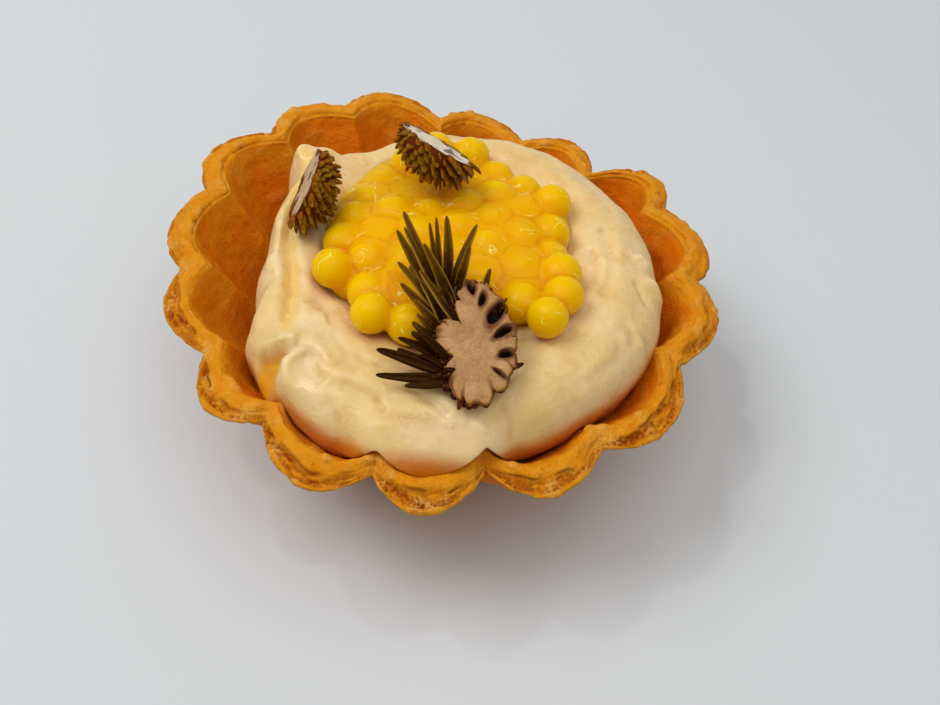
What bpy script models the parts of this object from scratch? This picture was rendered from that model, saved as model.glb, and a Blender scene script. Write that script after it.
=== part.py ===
"""A small fluted tartlet: a cup of golden pastry with fifteen flutes, filled with smooth cream.
A heap of yellow pearls lies in the cream's hollow, with three cut conifer shoots on top.
Lengths are in millimetres and angles in degrees, and skin() turns them into metres.
Z runs up from the face that the pastry rests on, and -Y is the front."""

import math
import random

import bpy
import numpy as np
from mathutils import Vector
from mathutils.bvhtree import BVHTree

MM = 0.001
GAP = 0.35  # air left between two pieces that touch in the real tartlet

# Pastry cup. Each flute: angle and radius of its pinch, then angle and radius of its tip.
FLUTES = (
    (0.8, 25.9, 10.4, 28.1),
    (25.2, 25.9, 36.2, 28.7),
    (46.1, 23.4, 57.8, 27.0),
    (69.4, 24.4, 83.7, 26.8),
    (93.1, 23.9, 106.6, 27.6),
    (117.8, 25.9, 129.8, 27.8),
    (138.9, 25.5, 152.2, 28.1),
    (163.3, 25.5, 177.0, 26.9),
    (189.0, 24.6, 201.1, 26.4),
    (214.6, 24.4, 225.9, 27.1),
    (236.4, 24.7, 250.9, 28.3),
    (261.2, 25.3, 271.3, 28.1),
    (283.2, 24.0, 292.6, 27.9),
    (307.5, 25.5, 320.7, 27.9),
    (336.8, 25.4, 349.5, 27.9),
)
FLUTE_COLUMNS = 8
RIM_Z = 16.5
RIM_LIFT = 0.7  # the lip's inner edge stands this much over its outer edge
RIM_DROP = 2.0  # the lip sags at the back right
DROP_ANGLE = 68.0
DROP_HALF_WIDTH = 52.0
BASE_R = 15.4
BASE_SWELL = 0.9
FLOOR_Z = 2.4
FLARE_POWER = 1.12  # over 1, the wall leans out more and more towards the lip
SWELL_POWER = 1.25
LOBE_POWER = 1.9  # how round each flute is between its pinches
RIDGE_ROUNDING = 0.15
WALL_AT_PINCH = 2.0
WALL_AT_TIP = 3.0
FOOT = 1.2  # the base edge is rounded off by this
LAYER_DEPTH = 0.45  # the split between the lip's flaky layers

# Cream. At each angle: side radius, height of that radius, crest radius, crest height.
CREAM_SHAPE = (
    (0, 21.6, 15.8, 16.8, 20.8),
    (40, 20.2, 14.5, 15.4, 20.6),
    (90, 18.0, 12.0, 13.6, 20.3),
    (122, 16.4, 11.5, 12.6, 20.2),
    (136, 17.0, 12.0, 13.8, 20.4),
    (147, 19.4, 12.5, 17.4, 21.4),
    (157, 17.4, 12.0, 14.6, 20.9),
    (180, 16.8, 12.0, 14.8, 20.7),
    (207, 18.4, 13.0, 15.6, 20.5),
    (221, 21.4, 16.0, 16.8, 20.3),
    (236, 22.8, 15.0, 17.2, 20.9),
    (252, 23.6, 15.6, 17.8, 20.9),
    (263, 25.2, 16.4, 18.4, 20.8),
    (279, 25.0, 16.4, 18.4, 20.8),
    (292, 23.0, 15.8, 18.0, 20.8),
    (318, 22.7, 15.8, 17.8, 20.9),
    (335, 22.9, 15.8, 17.2, 20.9),
)
HOLLOW_Z = 16.6
HOLLOW_R = 6.0
# Folds left by the spoon: width, depth (a ridge where it is under 0), and the line of each.
FOLDS = (
    (0.9, 0.7, ((-14.2, 8.6), (-14.2, -2.6), (-13.1, -6.6), (-12.5, -13.5))),
    (1.3, -0.5, ((-12.3, -2.0), (-11.5, -8.0), (-11.0, -13.0))),
    (0.9, 0.45, ((-10.5, -8.8), (-8.9, -13.7), (-7.0, -16.9), (-5.5, -17.6))),
    (0.8, -0.8, ((-15.7, -14.4), (-13.3, -14.9), (-11.3, -15.1))),
    (0.8, -1.1, ((-12.6, -16.1), (-11.9, -17.9), (-10.2, -21.2))),
    (0.9, 0.5, ((-11.0, -15.9), (-9.8, -17.4), (-8.4, -18.6))),
)
POCKET = ((-12.9, -14.8), (-13.5, -16.2), (-14.6, -18.2))  # the open end of the widest fold
POCKET_R = 1.7
POCKET_DEPTH = 3.2

# Pearls, each 3.9 across, on a domed bed. At each angle: how far out their centres lie.
PEARL_R = 1.95
PEARL_PITCH = 3.6
PEARL_COUNT = 44
HEAP_EDGE = (
    (0, 11.2),
    (22, 11.4),
    (50, 10.2),
    (90, 10.6),
    (120, 9.2),
    (148, 7.8),
    (168, 7.6),
    (190, 9.3),
    (215, 11.6),
    (229, 9.2),
    (245, 13.0),
    (268, 11.6),
    (284, 9.4),
    (295, 10.4),
    (312, 13.8),
    (330, 13.8),
    (347, 11.2),
)
HEAP_Z = 20.2
HEAP_RISE = 1.3
DENTS = ((3.6, -10.5, 4.6, 1.4), (-1.0, 5.5, 4.5, 1.2))  # under two of the shoots
PLACED_PEARLS = (
    (-9.5, -6.6),
    (-5.4, -11.9),
    (-2.1, -12.4),
    (9.9, -11.1),
    (11.6, -8.4),
    (11.2, 0.9),
    (10.4, 4.6),
    (-9.0, -2.6),
)
FACET_SWELL = 1.03  # a ball of few faces is swollen by this, to keep its size between the corners
CORE_SINK = 0.9  # the bed's top lies this far under the pearls' centres

# Cut shoots: half of a young cone, with its flat cut face at w = 0, its width along u and its
# length along v. The cut face's edge, at each angle from u: its distance from the middle.
SLICE_EDGE = (
    (0, 3.6),
    (29, 3.7),
    (53, 4.8),
    (75, 5.6),
    (95, 5.8),
    (112, 3.9),
    (126, 2.6),
    (150, 3.1),
    (185, 3.2),
    (215, 2.7),
    (232, 4.0),
    (252, 5.6),
    (270, 6.1),
    (300, 5.0),
    (325, 4.1),
)
HALF_SHOOT_EDGE = (
    (0, 3.4),
    (45, 4.3),
    (90, 5.9),
    (135, 4.5),
    (180, 3.4),
    (230, 4.3),
    (270, 5.8),
    (310, 4.5),
)
NEEDLE_WIDTH = 0.95
NEEDLE_RINGS = ((0.02, 0.6), (0.4, 1.0), (0.88, 0.75))  # share of the length, share of the width
STUB_RINGS = ((0.02, 0.6), (0.85, 0.8))
STUB_LENGTH = 2.9
# Fans of needles behind the front slice: count, root u, v and w, then the first and last
# needle's angle, length, and lift of the tip over the root.
NEEDLE_FANS = (
    (3, -1.7, 2.6, -0.8, 113, 123, 10.2, 8.2, 3.2, 3.0),
    (3, -1.4, 4.6, -0.9, 108, 92, 6.2, 6.4, 3.2, 3.2),
    (2, -1.2, 4.4, -0.7, 63, 70, 6.6, 4.9, 3.0, 2.6),
    (4, -1.2, 2.6, -0.6, 128, 142, 6.4, 5.8, 2.6, 2.0),
    (3, -2.2, 0.0, -0.6, 138, 152, 4.1, 3.6, 1.1, 0.9),
    (4, -2.3, -2.0, -0.6, 136, 160, 4.0, 6.8, 1.0, 1.1),
    (2, -2.0, -3.3, -0.6, 180, 190, 6.6, 4.3, 0.9, 0.8),
    (1, 1.5, 4.4, -0.5, 80, 80, 3.0, 3.0, 0.3, 0.3),
    (1, 2.2, -2.4, -0.6, -3, -3, 1.9, 1.9, 0.2, 0.2),
)


def clear_scene():
    for obj in list(bpy.data.objects):
        bpy.data.objects.remove(obj, do_unlink=True)


def material(name, colour, roughness):
    made = bpy.data.materials.new(name)
    made.use_nodes = True
    shader = made.node_tree.nodes["Principled BSDF"]
    shader.inputs["Base Color"].default_value = (*colour, 1.0)
    shader.inputs["Roughness"].default_value = roughness
    shader.inputs["Metallic"].default_value = 0.0
    return made


def skin(name, rings, finish, low_centre=None, high_centre=None):
    """A closed object through rings of points, each anticlockwise from above and the first lowest.
    It is closed at each end by a point at the centre of the last ring, or by the point given."""
    count = len(rings[0])
    ends = [
        np.mean(rings[0], axis=0) if low_centre is None else np.array(low_centre),
        np.mean(rings[-1], axis=0) if high_centre is None else np.array(high_centre),
    ]
    points = np.vstack([*rings, *ends]) * MM
    low, high = len(points) - 2, len(points) - 1
    faces = []
    for i in range(count):
        j = (i + 1) % count
        faces.append((low, j, i))
        for k in range(len(rings) - 1):
            a, b = k * count, (k + 1) * count
            faces.append((a + i, a + j, b + j, b + i))
        last = (len(rings) - 1) * count
        faces.append((last + i, last + j, high))
    mesh = bpy.data.meshes.new(name)
    mesh.from_pydata(points.tolist(), [], faces)
    mesh.materials.append(finish)
    mesh.shade_smooth()
    obj = bpy.data.objects.new(name, mesh)
    bpy.context.scene.collection.objects.link(obj)
    return obj


def fuse(base, others):
    """Joins the others to base in one Boolean union, and removes them."""
    group = bpy.data.collections.new(base.name + "_pieces")
    bpy.context.scene.collection.children.link(group)
    for obj in others:
        bpy.context.scene.collection.objects.unlink(obj)
        group.objects.link(obj)
    union = base.modifiers.new("union", "BOOLEAN")
    union.operation = "UNION"
    union.operand_type = "COLLECTION"
    union.collection = group
    union.solver = "MANIFOLD"
    bpy.context.view_layer.update()
    graph = bpy.context.evaluated_depsgraph_get()
    joined = bpy.data.meshes.new_from_object(base.evaluated_get(graph))
    base.modifiers.clear()
    base.data = joined
    for obj in others:
        bpy.data.objects.remove(obj, do_unlink=True)
    bpy.data.collections.remove(group)
    base.data.set_sharp_from_angle(angle=math.radians(50))
    return base


def smooth(t):
    t = np.clip(t, 0.0, 1.0)
    return t * t * (3 - 2 * t)


def around(table, column, angle):
    """A value of the table at this angle, turning smoothly from one entry to the next."""
    angle = np.asarray(angle) % 360
    stops = np.array([row[0] for row in table] + [table[0][0] + 360.0])
    values = np.array([row[column] for row in table] + [table[0][column]])
    k = np.clip(np.searchsorted(stops, angle, side="right") - 1, 0, len(table) - 1)
    share = smooth((angle - stops[k]) / (stops[k + 1] - stops[k]))
    return values[k] + (values[k + 1] - values[k]) * share


def flute_columns(per_flute):
    """Columns round the cup: angle, pinch radius there, swell of its flute, and how far the
    column is from the tip, from 0 at the tip to 1 at a pinch."""
    rows = []
    half = per_flute // 2
    for k, (pinch, pinch_r, tip, tip_r) in enumerate(FLUTES):
        after = FLUTES[(k + 1) % len(FLUTES)]
        end = after[0] + (360 if k == len(FLUTES) - 1 else 0)
        for i in range(per_flute):
            if i < half:
                angle = pinch + (tip - pinch) * i / half
                off_tip = 1 - i / half
            else:
                angle = tip + (end - tip) * (i - half) / (per_flute - half)
                off_tip = (i - half) / (per_flute - half)
            across = (angle - pinch) / (end - pinch)
            ridge = pinch_r + (after[1] - pinch_r) * across
            rows.append((math.radians(angle), ridge, tip_r - (pinch_r + after[1]) / 2, off_tip))
    return np.array(rows).T


def rim_height(angle):
    """Height of the lip's outer edge."""
    turn = (np.degrees(angle) - DROP_ANGLE + 180) % 360 - 180
    bump = np.clip(1 - (turn / DROP_HALF_WIDTH) ** 2, 0, 1) ** 2
    wave = 0.22 * np.sin(3 * angle + 0.8) + 0.16 * np.sin(7 * angle + 2.1)
    return RIM_Z - RIM_DROP * bump + wave


def cup_radius(columns, rise, inside):
    """Radius of the cup's outer or inner wall at a share of its height, from 0 to 1."""
    _, ridge_at_rim, swell_at_rim, off_tip = columns
    ridge = BASE_R + (ridge_at_rim - BASE_R) * rise**FLARE_POWER
    swell = BASE_SWELL + (swell_at_rim - BASE_SWELL) * rise**SWELL_POWER
    share = 1 - off_tip**LOBE_POWER
    if not inside:
        return ridge + swell * share
    rounded = np.hypot(share, RIDGE_ROUNDING) - RIDGE_ROUNDING
    share = rounded / (math.hypot(1, RIDGE_ROUNDING) - RIDGE_ROUNDING)
    return ridge - WALL_AT_PINCH + (swell - (WALL_AT_TIP - WALL_AT_PINCH)) * share


def ring(angles, radius, height):
    height = np.broadcast_to(height, np.shape(angles))
    return np.stack([radius * np.cos(angles), radius * np.sin(angles), height], axis=1)


def make_pastry(finish):
    columns = flute_columns(FLUTE_COLUMNS)
    angles = columns[0]
    lip = rim_height(angles)
    rings = [ring(angles, cup_radius(columns, 0.0, False) - FOOT, 0.0)]
    for rise in (0.05, 0.35, 0.68, 0.94, 1.0):
        rings.append(ring(angles, cup_radius(columns, rise, False), rise * lip))
    outer = cup_radius(columns, 1.0, False)
    inner = cup_radius(columns, 1.0, True)
    split = LAYER_DEPTH * (0.6 + 0.4 * np.sin(5 * angles + 1.0) * np.sin(13 * angles))
    for across, sink in ((0.38, split), (0.58, -0.1)):
        height = lip + RIM_LIFT * across - sink
        rings.append(ring(angles, outer + (inner - outer) * across, height))
    rings.append(ring(angles, inner, lip + RIM_LIFT))
    for rise in (0.9, 0.55, 0.2):
        height = FLOOR_Z + rise * (lip + RIM_LIFT - FLOOR_Z)
        rings.append(ring(angles, cup_radius(columns, height / (lip + RIM_LIFT), True), height))
    rings.append(ring(angles, cup_radius(columns, FLOOR_Z / RIM_Z, True) - 1.0, FLOOR_Z))
    return skin("pastry", rings, finish, (0, 0, 0), (0, 0, FLOOR_Z))


def line_distance(x, y, line):
    """Distance from a point to a line through several points, and the share of it passed."""
    best = np.full(np.shape(x), 1e9)
    passed = np.zeros(np.shape(x))
    for k in range(len(line) - 1):
        (ax, ay), (bx, by) = line[k], line[k + 1]
        dx, dy = bx - ax, by - ay
        t = np.clip(((x - ax) * dx + (y - ay) * dy) / (dx * dx + dy * dy), 0, 1)
        gap = np.hypot(x - ax - t * dx, y - ay - t * dy)
        passed = np.where(gap < best, (k + t) / (len(line) - 1), passed)
        best = np.minimum(best, gap)
    return best, passed


def fold_depth(x, y):
    """How far the folds sink the cream's top."""
    depth = np.zeros(np.shape(x))
    for width, deep, line in FOLDS:
        gap, passed = line_distance(x, y, line)
        depth = depth + deep * np.exp(-((gap / width) ** 2)) * smooth(4 * passed + 0.2)
    pocket = line_distance(x, y, POCKET)[0] / POCKET_R
    return depth + POCKET_DEPTH * np.exp(-(pocket**2))


def cream_height(x, y):
    """Height of the cream's top over a point."""
    angle = np.degrees(np.arctan2(y, x))
    side_r, side_z, crest_r, crest_z = (around(CREAM_SHAPE, c, angle) for c in (1, 2, 3, 4))
    r = np.hypot(x, y)
    bowl = HOLLOW_Z + (crest_z - HOLLOW_Z) * smooth((r - HOLLOW_R) / (crest_r - HOLLOW_R))
    past = np.clip((r - crest_r) / (side_r - crest_r), 0, 1)
    shoulder = side_z + (crest_z - side_z) * np.sqrt(1 - past**2)
    return np.where(r < crest_r, bowl, shoulder) - fold_depth(x, y)


def make_cream(finish):
    columns = flute_columns(FLUTE_COLUMNS)
    angles = columns[0]
    turn = np.degrees(angles)
    side_r, side_z, crest_r, crest_z = (around(CREAM_SHAPE, c, turn) for c in (1, 2, 3, 4))
    brim = rim_height(angles) + RIM_LIFT

    def held_in(radius, height):
        """The cup's wall holds the cream in, and over its lip the cream may lean out again."""
        rise = np.minimum(height / brim, 1.0)
        wall = cup_radius(columns, rise, True) - GAP
        return np.minimum(radius, wall + 0.8 * np.clip(height - brim, 0, None))

    bottom = FLOOR_Z + GAP
    rings = [ring(angles, cup_radius(columns, FLOOR_Z / RIM_Z, True) - 1.0 - 2 * GAP, bottom)]
    for rise in (0.2, 0.55, 0.75):
        height = FLOOR_Z + rise * (brim - FLOOR_Z)
        below = np.clip((side_z - height) / side_z, 0, 1)
        rings.append(ring(angles, held_in(side_r - 1.5 * below, height), height))
    for tilt in (12, 32, 52, 72):
        out, up = math.cos(math.radians(tilt)), math.sin(math.radians(tilt))
        height = side_z + (crest_z - side_z) * up
        radius = held_in(crest_r + (side_r - crest_r) * out, height)
        x, y = radius * np.cos(angles), radius * np.sin(angles)
        rings.append(ring(angles, radius, height - fold_depth(x, y) * up))
    for share in (1.0, 0.93, 0.85, 0.77, 0.67, 0.5):
        radius = crest_r * share
        x, y = radius * np.cos(angles), radius * np.sin(angles)
        rings.append(ring(angles, radius, cream_height(x, y)))
    return skin("cream", rings, finish, (0, 0, bottom), (0, 0, HOLLOW_Z))


def heap_share(x, y):
    """How far a point lies from the heap's centre, as a share of the way to its edge."""
    return np.hypot(x, y) / around(HEAP_EDGE, 1, np.degrees(np.arctan2(y, x)))


def heap_height(x, y):
    """Height of the pearls' centres over a point of the heap."""
    height = HEAP_Z + HEAP_RISE * (1 - heap_share(x, y) ** 2)
    for dent_x, dent_y, radius, depth in DENTS:
        height = height - depth * np.exp(-((x - dent_x) ** 2 + (y - dent_y) ** 2) / radius**2)
    return height


def top_of(objects):
    """A function that tells how high the highest of these objects is over a point."""
    trees = []
    for obj in objects:
        points = [vertex.co / MM for vertex in obj.data.vertices]
        trees.append(BVHTree.FromPolygons(points, [face.vertices[:] for face in obj.data.polygons]))

    def height(x, y):
        hits = [tree.ray_cast(Vector((x, y, 3 * RIM_Z)), Vector((0, 0, -1)))[0] for tree in trees]
        return max((hit.z for hit in hits if hit), default=FLOOR_Z)

    return height


def ball_rest(top, x, y, radius):
    """Lowest height at which a ball's centre clears what lies under it."""
    steps = np.linspace(-1, 1, 9) * radius
    rests = []
    for dx in steps:
        for dy in steps:
            if dx * dx + dy * dy <= radius**2:
                rests.append(top(x + dx, y + dy) + math.sqrt(radius**2 - dx * dx - dy * dy))
    return max(rests) + GAP


def pearl_centres(top):
    """Where each pearl lies: some placed, the others pushed apart until they fill the heap."""
    rng = np.random.default_rng(11)
    more = PEARL_COUNT - len(PLACED_PEARLS)
    turns = rng.uniform(0, 2 * math.pi, more)
    reach = 10 * np.sqrt(rng.uniform(0, 1, more))
    loose = np.stack([reach * np.cos(turns), reach * np.sin(turns)], axis=1)
    spots = np.vstack([PLACED_PEARLS, loose])
    for _ in range(400):
        apart = spots[:, None] - spots[None]
        gap = np.linalg.norm(apart, axis=2) + np.eye(len(spots)) * PEARL_PITCH
        push = np.clip(PEARL_PITCH / gap - 1, 0, 2)
        spots = spots + 0.2 * np.sum(push[:, :, None] * apart, axis=1)
        over = np.maximum(heap_share(spots[:, 0], spots[:, 1]), 1)
        spots = spots / over[:, None]
        spots[: len(PLACED_PEARLS)] = PLACED_PEARLS
    centres = []
    for x, y in spots:
        radius = PEARL_R * rng.uniform(0.94, 1.05)
        z = float(heap_height(x, y)) + rng.uniform(-0.4, 0.4)
        centres.append((x, y, max(z, ball_rest(top, x, y, radius)), radius))
    return centres


def ball(name, centre, radius, finish, bands=4, sides=8):
    """A ball of few faces, turned a little by its own place so that no two lie alike."""
    angles = np.arange(sides) * 2 * math.pi / sides + centre[0]
    rings = []
    for k in range(1, bands):
        tilt = math.pi * k / bands
        loop = ring(angles, radius * math.sin(tilt), -radius * math.cos(tilt))
        rings.append(loop + np.array(centre))
    x, y, z = centre
    return skin(name, rings, finish, (x, y, z - radius), (x, y, z + radius))


def make_pearls(cream, finish):
    top = top_of([cream])
    angles = np.arange(24) * 2 * math.pi / 24
    edge = around(HEAP_EDGE, 1, np.degrees(angles))

    def bed(share, sink):
        x, y = share * edge * np.cos(angles), share * edge * np.sin(angles)
        under = np.array([top(*spot) for spot in zip(x, y)]) + 1.5 * GAP
        over = np.maximum(heap_height(x, y) - CORE_SINK, under + 0.5)
        return np.stack([x, y, under if sink else over], axis=1)

    rings = [bed(share, True) for share in (0.3, 0.45, 0.6, 0.72, 0.86, 1.0)]
    rings += [bed(share, False) for share in (1.0, 0.7, 0.4)]
    crown = float(heap_height(0, 0)) - CORE_SINK
    base = skin("pearls", rings, finish, (0, 0, top(0, 0) + 1.5 * GAP), (0, 0, crown))
    balls = []
    for k, (x, y, z, radius) in enumerate(pearl_centres(top)):
        balls.append(ball(f"pearl_{k}", (x, y, z), radius * FACET_SWELL, finish))
    return fuse(base, balls)


def needle(name, root, tip, finish, sides=4):
    """A flattened needle that tapers to a point."""
    root, tip = np.array(root, float), np.array(tip, float)
    along = tip - root
    length = np.linalg.norm(along)
    along = along / length
    flat = np.cross(along, (0.0, 0.0, 1.0))
    flat = flat / np.linalg.norm(flat)
    thick = np.cross(flat, along)
    angles = np.arange(sides) * 2 * math.pi / sides
    rings = []
    for share, wide in STUB_RINGS if length < STUB_LENGTH else NEEDLE_RINGS:
        centre = root + along * length * share
        side = np.outer(np.cos(angles), flat) * NEEDLE_WIDTH * wide / 2
        rise = np.outer(np.sin(angles), -thick) * NEEDLE_WIDTH * wide / 3
        rings.append(centre + side + rise)
    return skin(name, rings, finish, root, tip)


def shoot_body(name, edge, size, depth, finish):
    """Half of a young cone. Its cut face is flat at w = 0, and its back bulges to w = -depth."""
    angles = np.arange(30) * 2 * math.pi / 30
    reach = around(edge, 1, np.degrees(angles))
    rings = []
    for sink, share in ((0.95, 0.45), (0.7, 0.8), (0.35, 1.0), (0.0, 0.97)):
        u, v = reach * size[0] * share * np.cos(angles), reach * size[1] * share * np.sin(angles)
        rings.append(np.stack([u, v, np.full(len(angles), -sink * depth)], axis=1))
    return skin(name, rings, finish, (0, 0, -depth), (0, 0, 0))


def fan_of_needles():
    """The front slice's needles, as pairs of root and tip."""
    rng = random.Random(5)
    pairs = []
    for count, u, v, w, turn, last_turn, length, last_length, lift, last_lift in NEEDLE_FANS:
        for k in range(count):
            share = k / max(count - 1, 1)
            angle = math.radians(turn + (last_turn - turn) * share)
            reach = length + (last_length - length) * share
            rise = lift + (last_lift - lift) * share
            side = (rng.uniform(-0.3, 0.3), rng.uniform(-0.3, 0.3))
            root = (u + side[0], v + side[1], w)
            flat = math.sqrt(reach**2 - rise**2)
            tip = (root[0] + flat * math.cos(angle), root[1] + flat * math.sin(angle), w + rise)
            pairs.append((root, tip))
    return pairs


def back_stubs(count, size, depth, seed):
    """Short needles that stand all over a shoot's rounded back, and lean along it."""
    rng = random.Random(seed)
    pairs = []
    for k in range(count):
        angle = math.radians(137.5 * k)
        out = 0.3 + 0.7 * math.sqrt((k + 0.5) / count)
        reach = float(around(HALF_SHOOT_EDGE, 1, math.degrees(angle))) * out
        sink = depth * math.sqrt(1 - (0.95 * out) ** 2)
        u, v = reach * size[0] * math.cos(angle), reach * size[1] * math.sin(angle)
        root = (0.75 * u, 0.75 * v, -0.7 * sink - 0.3)
        length = rng.uniform(0.75, 1.15)
        tip = (u + length * math.cos(angle), v + length * (math.sin(angle) + 0.5), -sink - length)
        pairs.append((root, tip))
    return pairs


def axes_of(long_axis, face_normal):
    """Local axes u, v and w of a shoot, from its long axis and the side its cut face looks to."""
    v = Vector(long_axis).normalized()
    w = Vector(face_normal)
    w = (w - v * w.dot(v)).normalized()
    return np.array([v.cross(w), v, w])


def make_shoot(name, under, place, long_axis, face_normal, edge, depth, size, pairs, finish):
    """One cut shoot, set down at a place in plan until it just clears what lies under it."""
    body = shoot_body(name, edge, size, depth, finish)
    pieces = []
    for k, (root, tip) in enumerate(pairs):
        pieces.append(needle(f"{name}_needle_{k}", root, tip, finish))
    fuse(body, pieces)
    axes = axes_of(long_axis, face_normal)
    points = np.array([v.co for v in body.data.vertices]) / MM @ axes
    points += np.array([*place, 0.0])
    points[:, 2] += max(under(x, y) - z for x, y, z in points) + GAP
    for vertex, point in zip(body.data.vertices, points * MM):
        vertex.co = point
    return body


def main():
    clear_scene()
    make_pastry(material("pastry", (0.62, 0.30, 0.06), 0.6))
    cream = make_cream(material("cream", (0.90, 0.78, 0.50), 0.35))
    pearls = make_pearls(cream, material("pearls", (0.90, 0.60, 0.02), 0.12))
    green = material("shoot", (0.28, 0.20, 0.06), 0.5)
    top = top_of([cream, pearls])
    make_shoot(
        "shoot_front",
        top,
        place=(3.5, -15.1),
        long_axis=(-0.118, 0.975, 0.185),
        face_normal=(0, -0.19, 0.98),
        edge=SLICE_EDGE,
        size=(1.0, 1.0),
        depth=1.8,
        pairs=fan_of_needles(),
        finish=green,
    )
    make_shoot(
        "shoot_back",
        top,
        place=(-1.0, 5.2),
        long_axis=(0.875, -0.43, -0.217),
        face_normal=(0.42, 0.45, 0.79),
        edge=HALF_SHOOT_EDGE,
        size=(0.8, 0.66),
        depth=3.2,
        pairs=back_stubs(26, (0.8, 0.66), 3.2, 3),
        finish=green,
    )
    make_shoot(
        "shoot_left",
        top,
        place=(-13.0, 1.0),
        long_axis=(-0.2, -0.9, -0.35),
        face_normal=(-0.9, -0.08, 0.42),
        edge=HALF_SHOOT_EDGE,
        size=(0.72, 0.64),
        depth=2.8,
        pairs=back_stubs(24, (0.72, 0.64), 2.8, 8),
        finish=green,
    )


main()
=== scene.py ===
"""Looks of a small fluted tartlet: golden pastry, pale cream, yellow pearls and three cut conifer shoots.
Lengths are in millimetres and angles in degrees, and mesh_piece() turns them into metres.
Z runs up from the face that the pastry rests on, and -Y is the front."""

import itertools
import math

import bmesh
import bpy
import numpy as np
from mathutils import Matrix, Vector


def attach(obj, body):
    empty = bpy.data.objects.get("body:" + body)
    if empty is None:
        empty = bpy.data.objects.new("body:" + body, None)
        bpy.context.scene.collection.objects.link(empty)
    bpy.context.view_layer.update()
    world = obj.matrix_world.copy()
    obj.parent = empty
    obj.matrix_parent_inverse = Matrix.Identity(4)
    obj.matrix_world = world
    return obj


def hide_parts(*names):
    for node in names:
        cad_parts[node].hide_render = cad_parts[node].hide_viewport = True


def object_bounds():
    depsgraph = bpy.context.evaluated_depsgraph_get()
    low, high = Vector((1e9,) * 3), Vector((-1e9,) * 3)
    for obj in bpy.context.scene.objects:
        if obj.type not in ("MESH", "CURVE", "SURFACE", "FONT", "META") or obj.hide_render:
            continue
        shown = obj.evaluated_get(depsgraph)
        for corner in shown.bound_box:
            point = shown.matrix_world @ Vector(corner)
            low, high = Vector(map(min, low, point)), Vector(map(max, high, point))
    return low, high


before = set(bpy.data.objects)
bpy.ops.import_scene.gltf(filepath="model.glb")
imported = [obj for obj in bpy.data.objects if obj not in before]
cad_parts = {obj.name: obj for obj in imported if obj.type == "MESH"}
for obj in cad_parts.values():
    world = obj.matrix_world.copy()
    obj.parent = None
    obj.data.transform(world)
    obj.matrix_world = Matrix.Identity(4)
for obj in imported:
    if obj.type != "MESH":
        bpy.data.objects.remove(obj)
cad_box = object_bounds()

MM = 0.001

# Pastry cup. Each flute: angle and radius of its pinch, then angle and radius of its tip.
FLUTES = (
    (0.8, 25.9, 10.4, 28.1),
    (25.2, 25.9, 36.2, 28.7),
    (46.1, 23.4, 57.8, 27.0),
    (69.4, 24.4, 83.7, 26.8),
    (93.1, 23.9, 106.6, 27.6),
    (117.8, 25.9, 129.8, 27.8),
    (138.9, 25.5, 152.2, 28.1),
    (163.3, 25.5, 177.0, 26.9),
    (189.0, 24.6, 201.1, 26.4),
    (214.6, 24.4, 225.9, 27.1),
    (236.4, 24.7, 250.9, 28.3),
    (261.2, 25.3, 271.3, 28.1),
    (283.2, 24.0, 292.6, 27.9),
    (307.5, 25.5, 320.7, 27.9),
    (336.8, 25.4, 349.5, 27.9),
)
PASTRY_COLUMNS = 40  # columns of points in each flute
WALL_RINGS, LIP_RINGS, INNER_RINGS = 42, 44, 36  # rings of points up the wall, over the lip and down
RIM_Z = 16.5
RIM_LIFT = 0.7  # the lip's inner edge stands this much over its outer edge
RIM_DROP = 2.0  # the lip sags at the back right
DROP_ANGLE = 68.0
DROP_HALF_WIDTH = 52.0
BASE_R = 15.4
BASE_SWELL = 0.9
FLOOR_Z = 2.4
FLARE_POWER = 1.12
SWELL_POWER = 1.25
LOBE_POWER = 1.9
RIDGE_ROUNDING = 0.08
# Thickness of the wall in front, and at the sides and back.
WALL_AT_PINCH = (2.0, 2.6)
WALL_AT_TIP = (3.0, 2.5)
INNER_SWELL_POWER = 0.7  # the flutes stay deep further down inside
FOOT = 1.2  # the base edge is rounded off by this
LIP_CORNER = 0.3  # how much the lip's two edges are rounded off
LIP_ROLL = 0.2  # swell of its inner half
LIP_WEAR = 0.4  # how much rounder it is at the sides and back
LAYER_STEP = 0.16  # how far the flaky layer lies under the roll
STREAKS_ROUND = 120  # streaks of the layers round the cup
SPLIT_DEPTH = 0.24  # the crack between the lip's flaky layers
CRUMB_ANGLE = -54.0  # where torn crumbs hang on the lip
CRUMB_COUNT = 16
CRUMB_REACH = (24.9, 25.8)  # how far out they hang
CRUMB_DROP = 1.3  # how far below the lip
CRUMB_R = (0.14, 0.38)
LAP_R = 27.0  # the lip's layers vary along a circle of this radius

# Cream. At each angle: side radius, height of that radius, crest radius, crest height.
CREAM_SHAPE = (
    (0, 21.6, 15.8, 16.8, 20.8),
    (40, 20.2, 14.5, 15.4, 20.6),
    (90, 18.0, 12.0, 13.6, 20.3),
    (122, 16.4, 11.5, 12.6, 20.2),
    (136, 17.0, 12.0, 13.8, 20.4),
    (147, 19.4, 12.5, 17.4, 21.4),
    (157, 17.4, 12.0, 14.6, 20.9),
    (180, 16.8, 12.0, 14.8, 20.7),
    (207, 18.4, 13.0, 15.6, 20.5),
    (221, 21.4, 16.0, 16.8, 20.3),
    (236, 22.8, 15.0, 17.2, 20.9),
    (252, 23.6, 15.6, 17.8, 20.9),
    (263, 25.2, 16.4, 18.4, 20.8),
    (279, 25.0, 16.4, 18.4, 20.8),
    (292, 23.0, 15.8, 18.0, 20.8),
    (318, 22.7, 15.8, 17.8, 20.9),
    (335, 22.9, 15.8, 17.2, 20.9),
)
CREAM_COLUMNS = 40  # columns of points over each flute
SIDE_RINGS, TOP_RINGS = 46, 52  # rings of points up the cream's side and over its top
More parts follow.
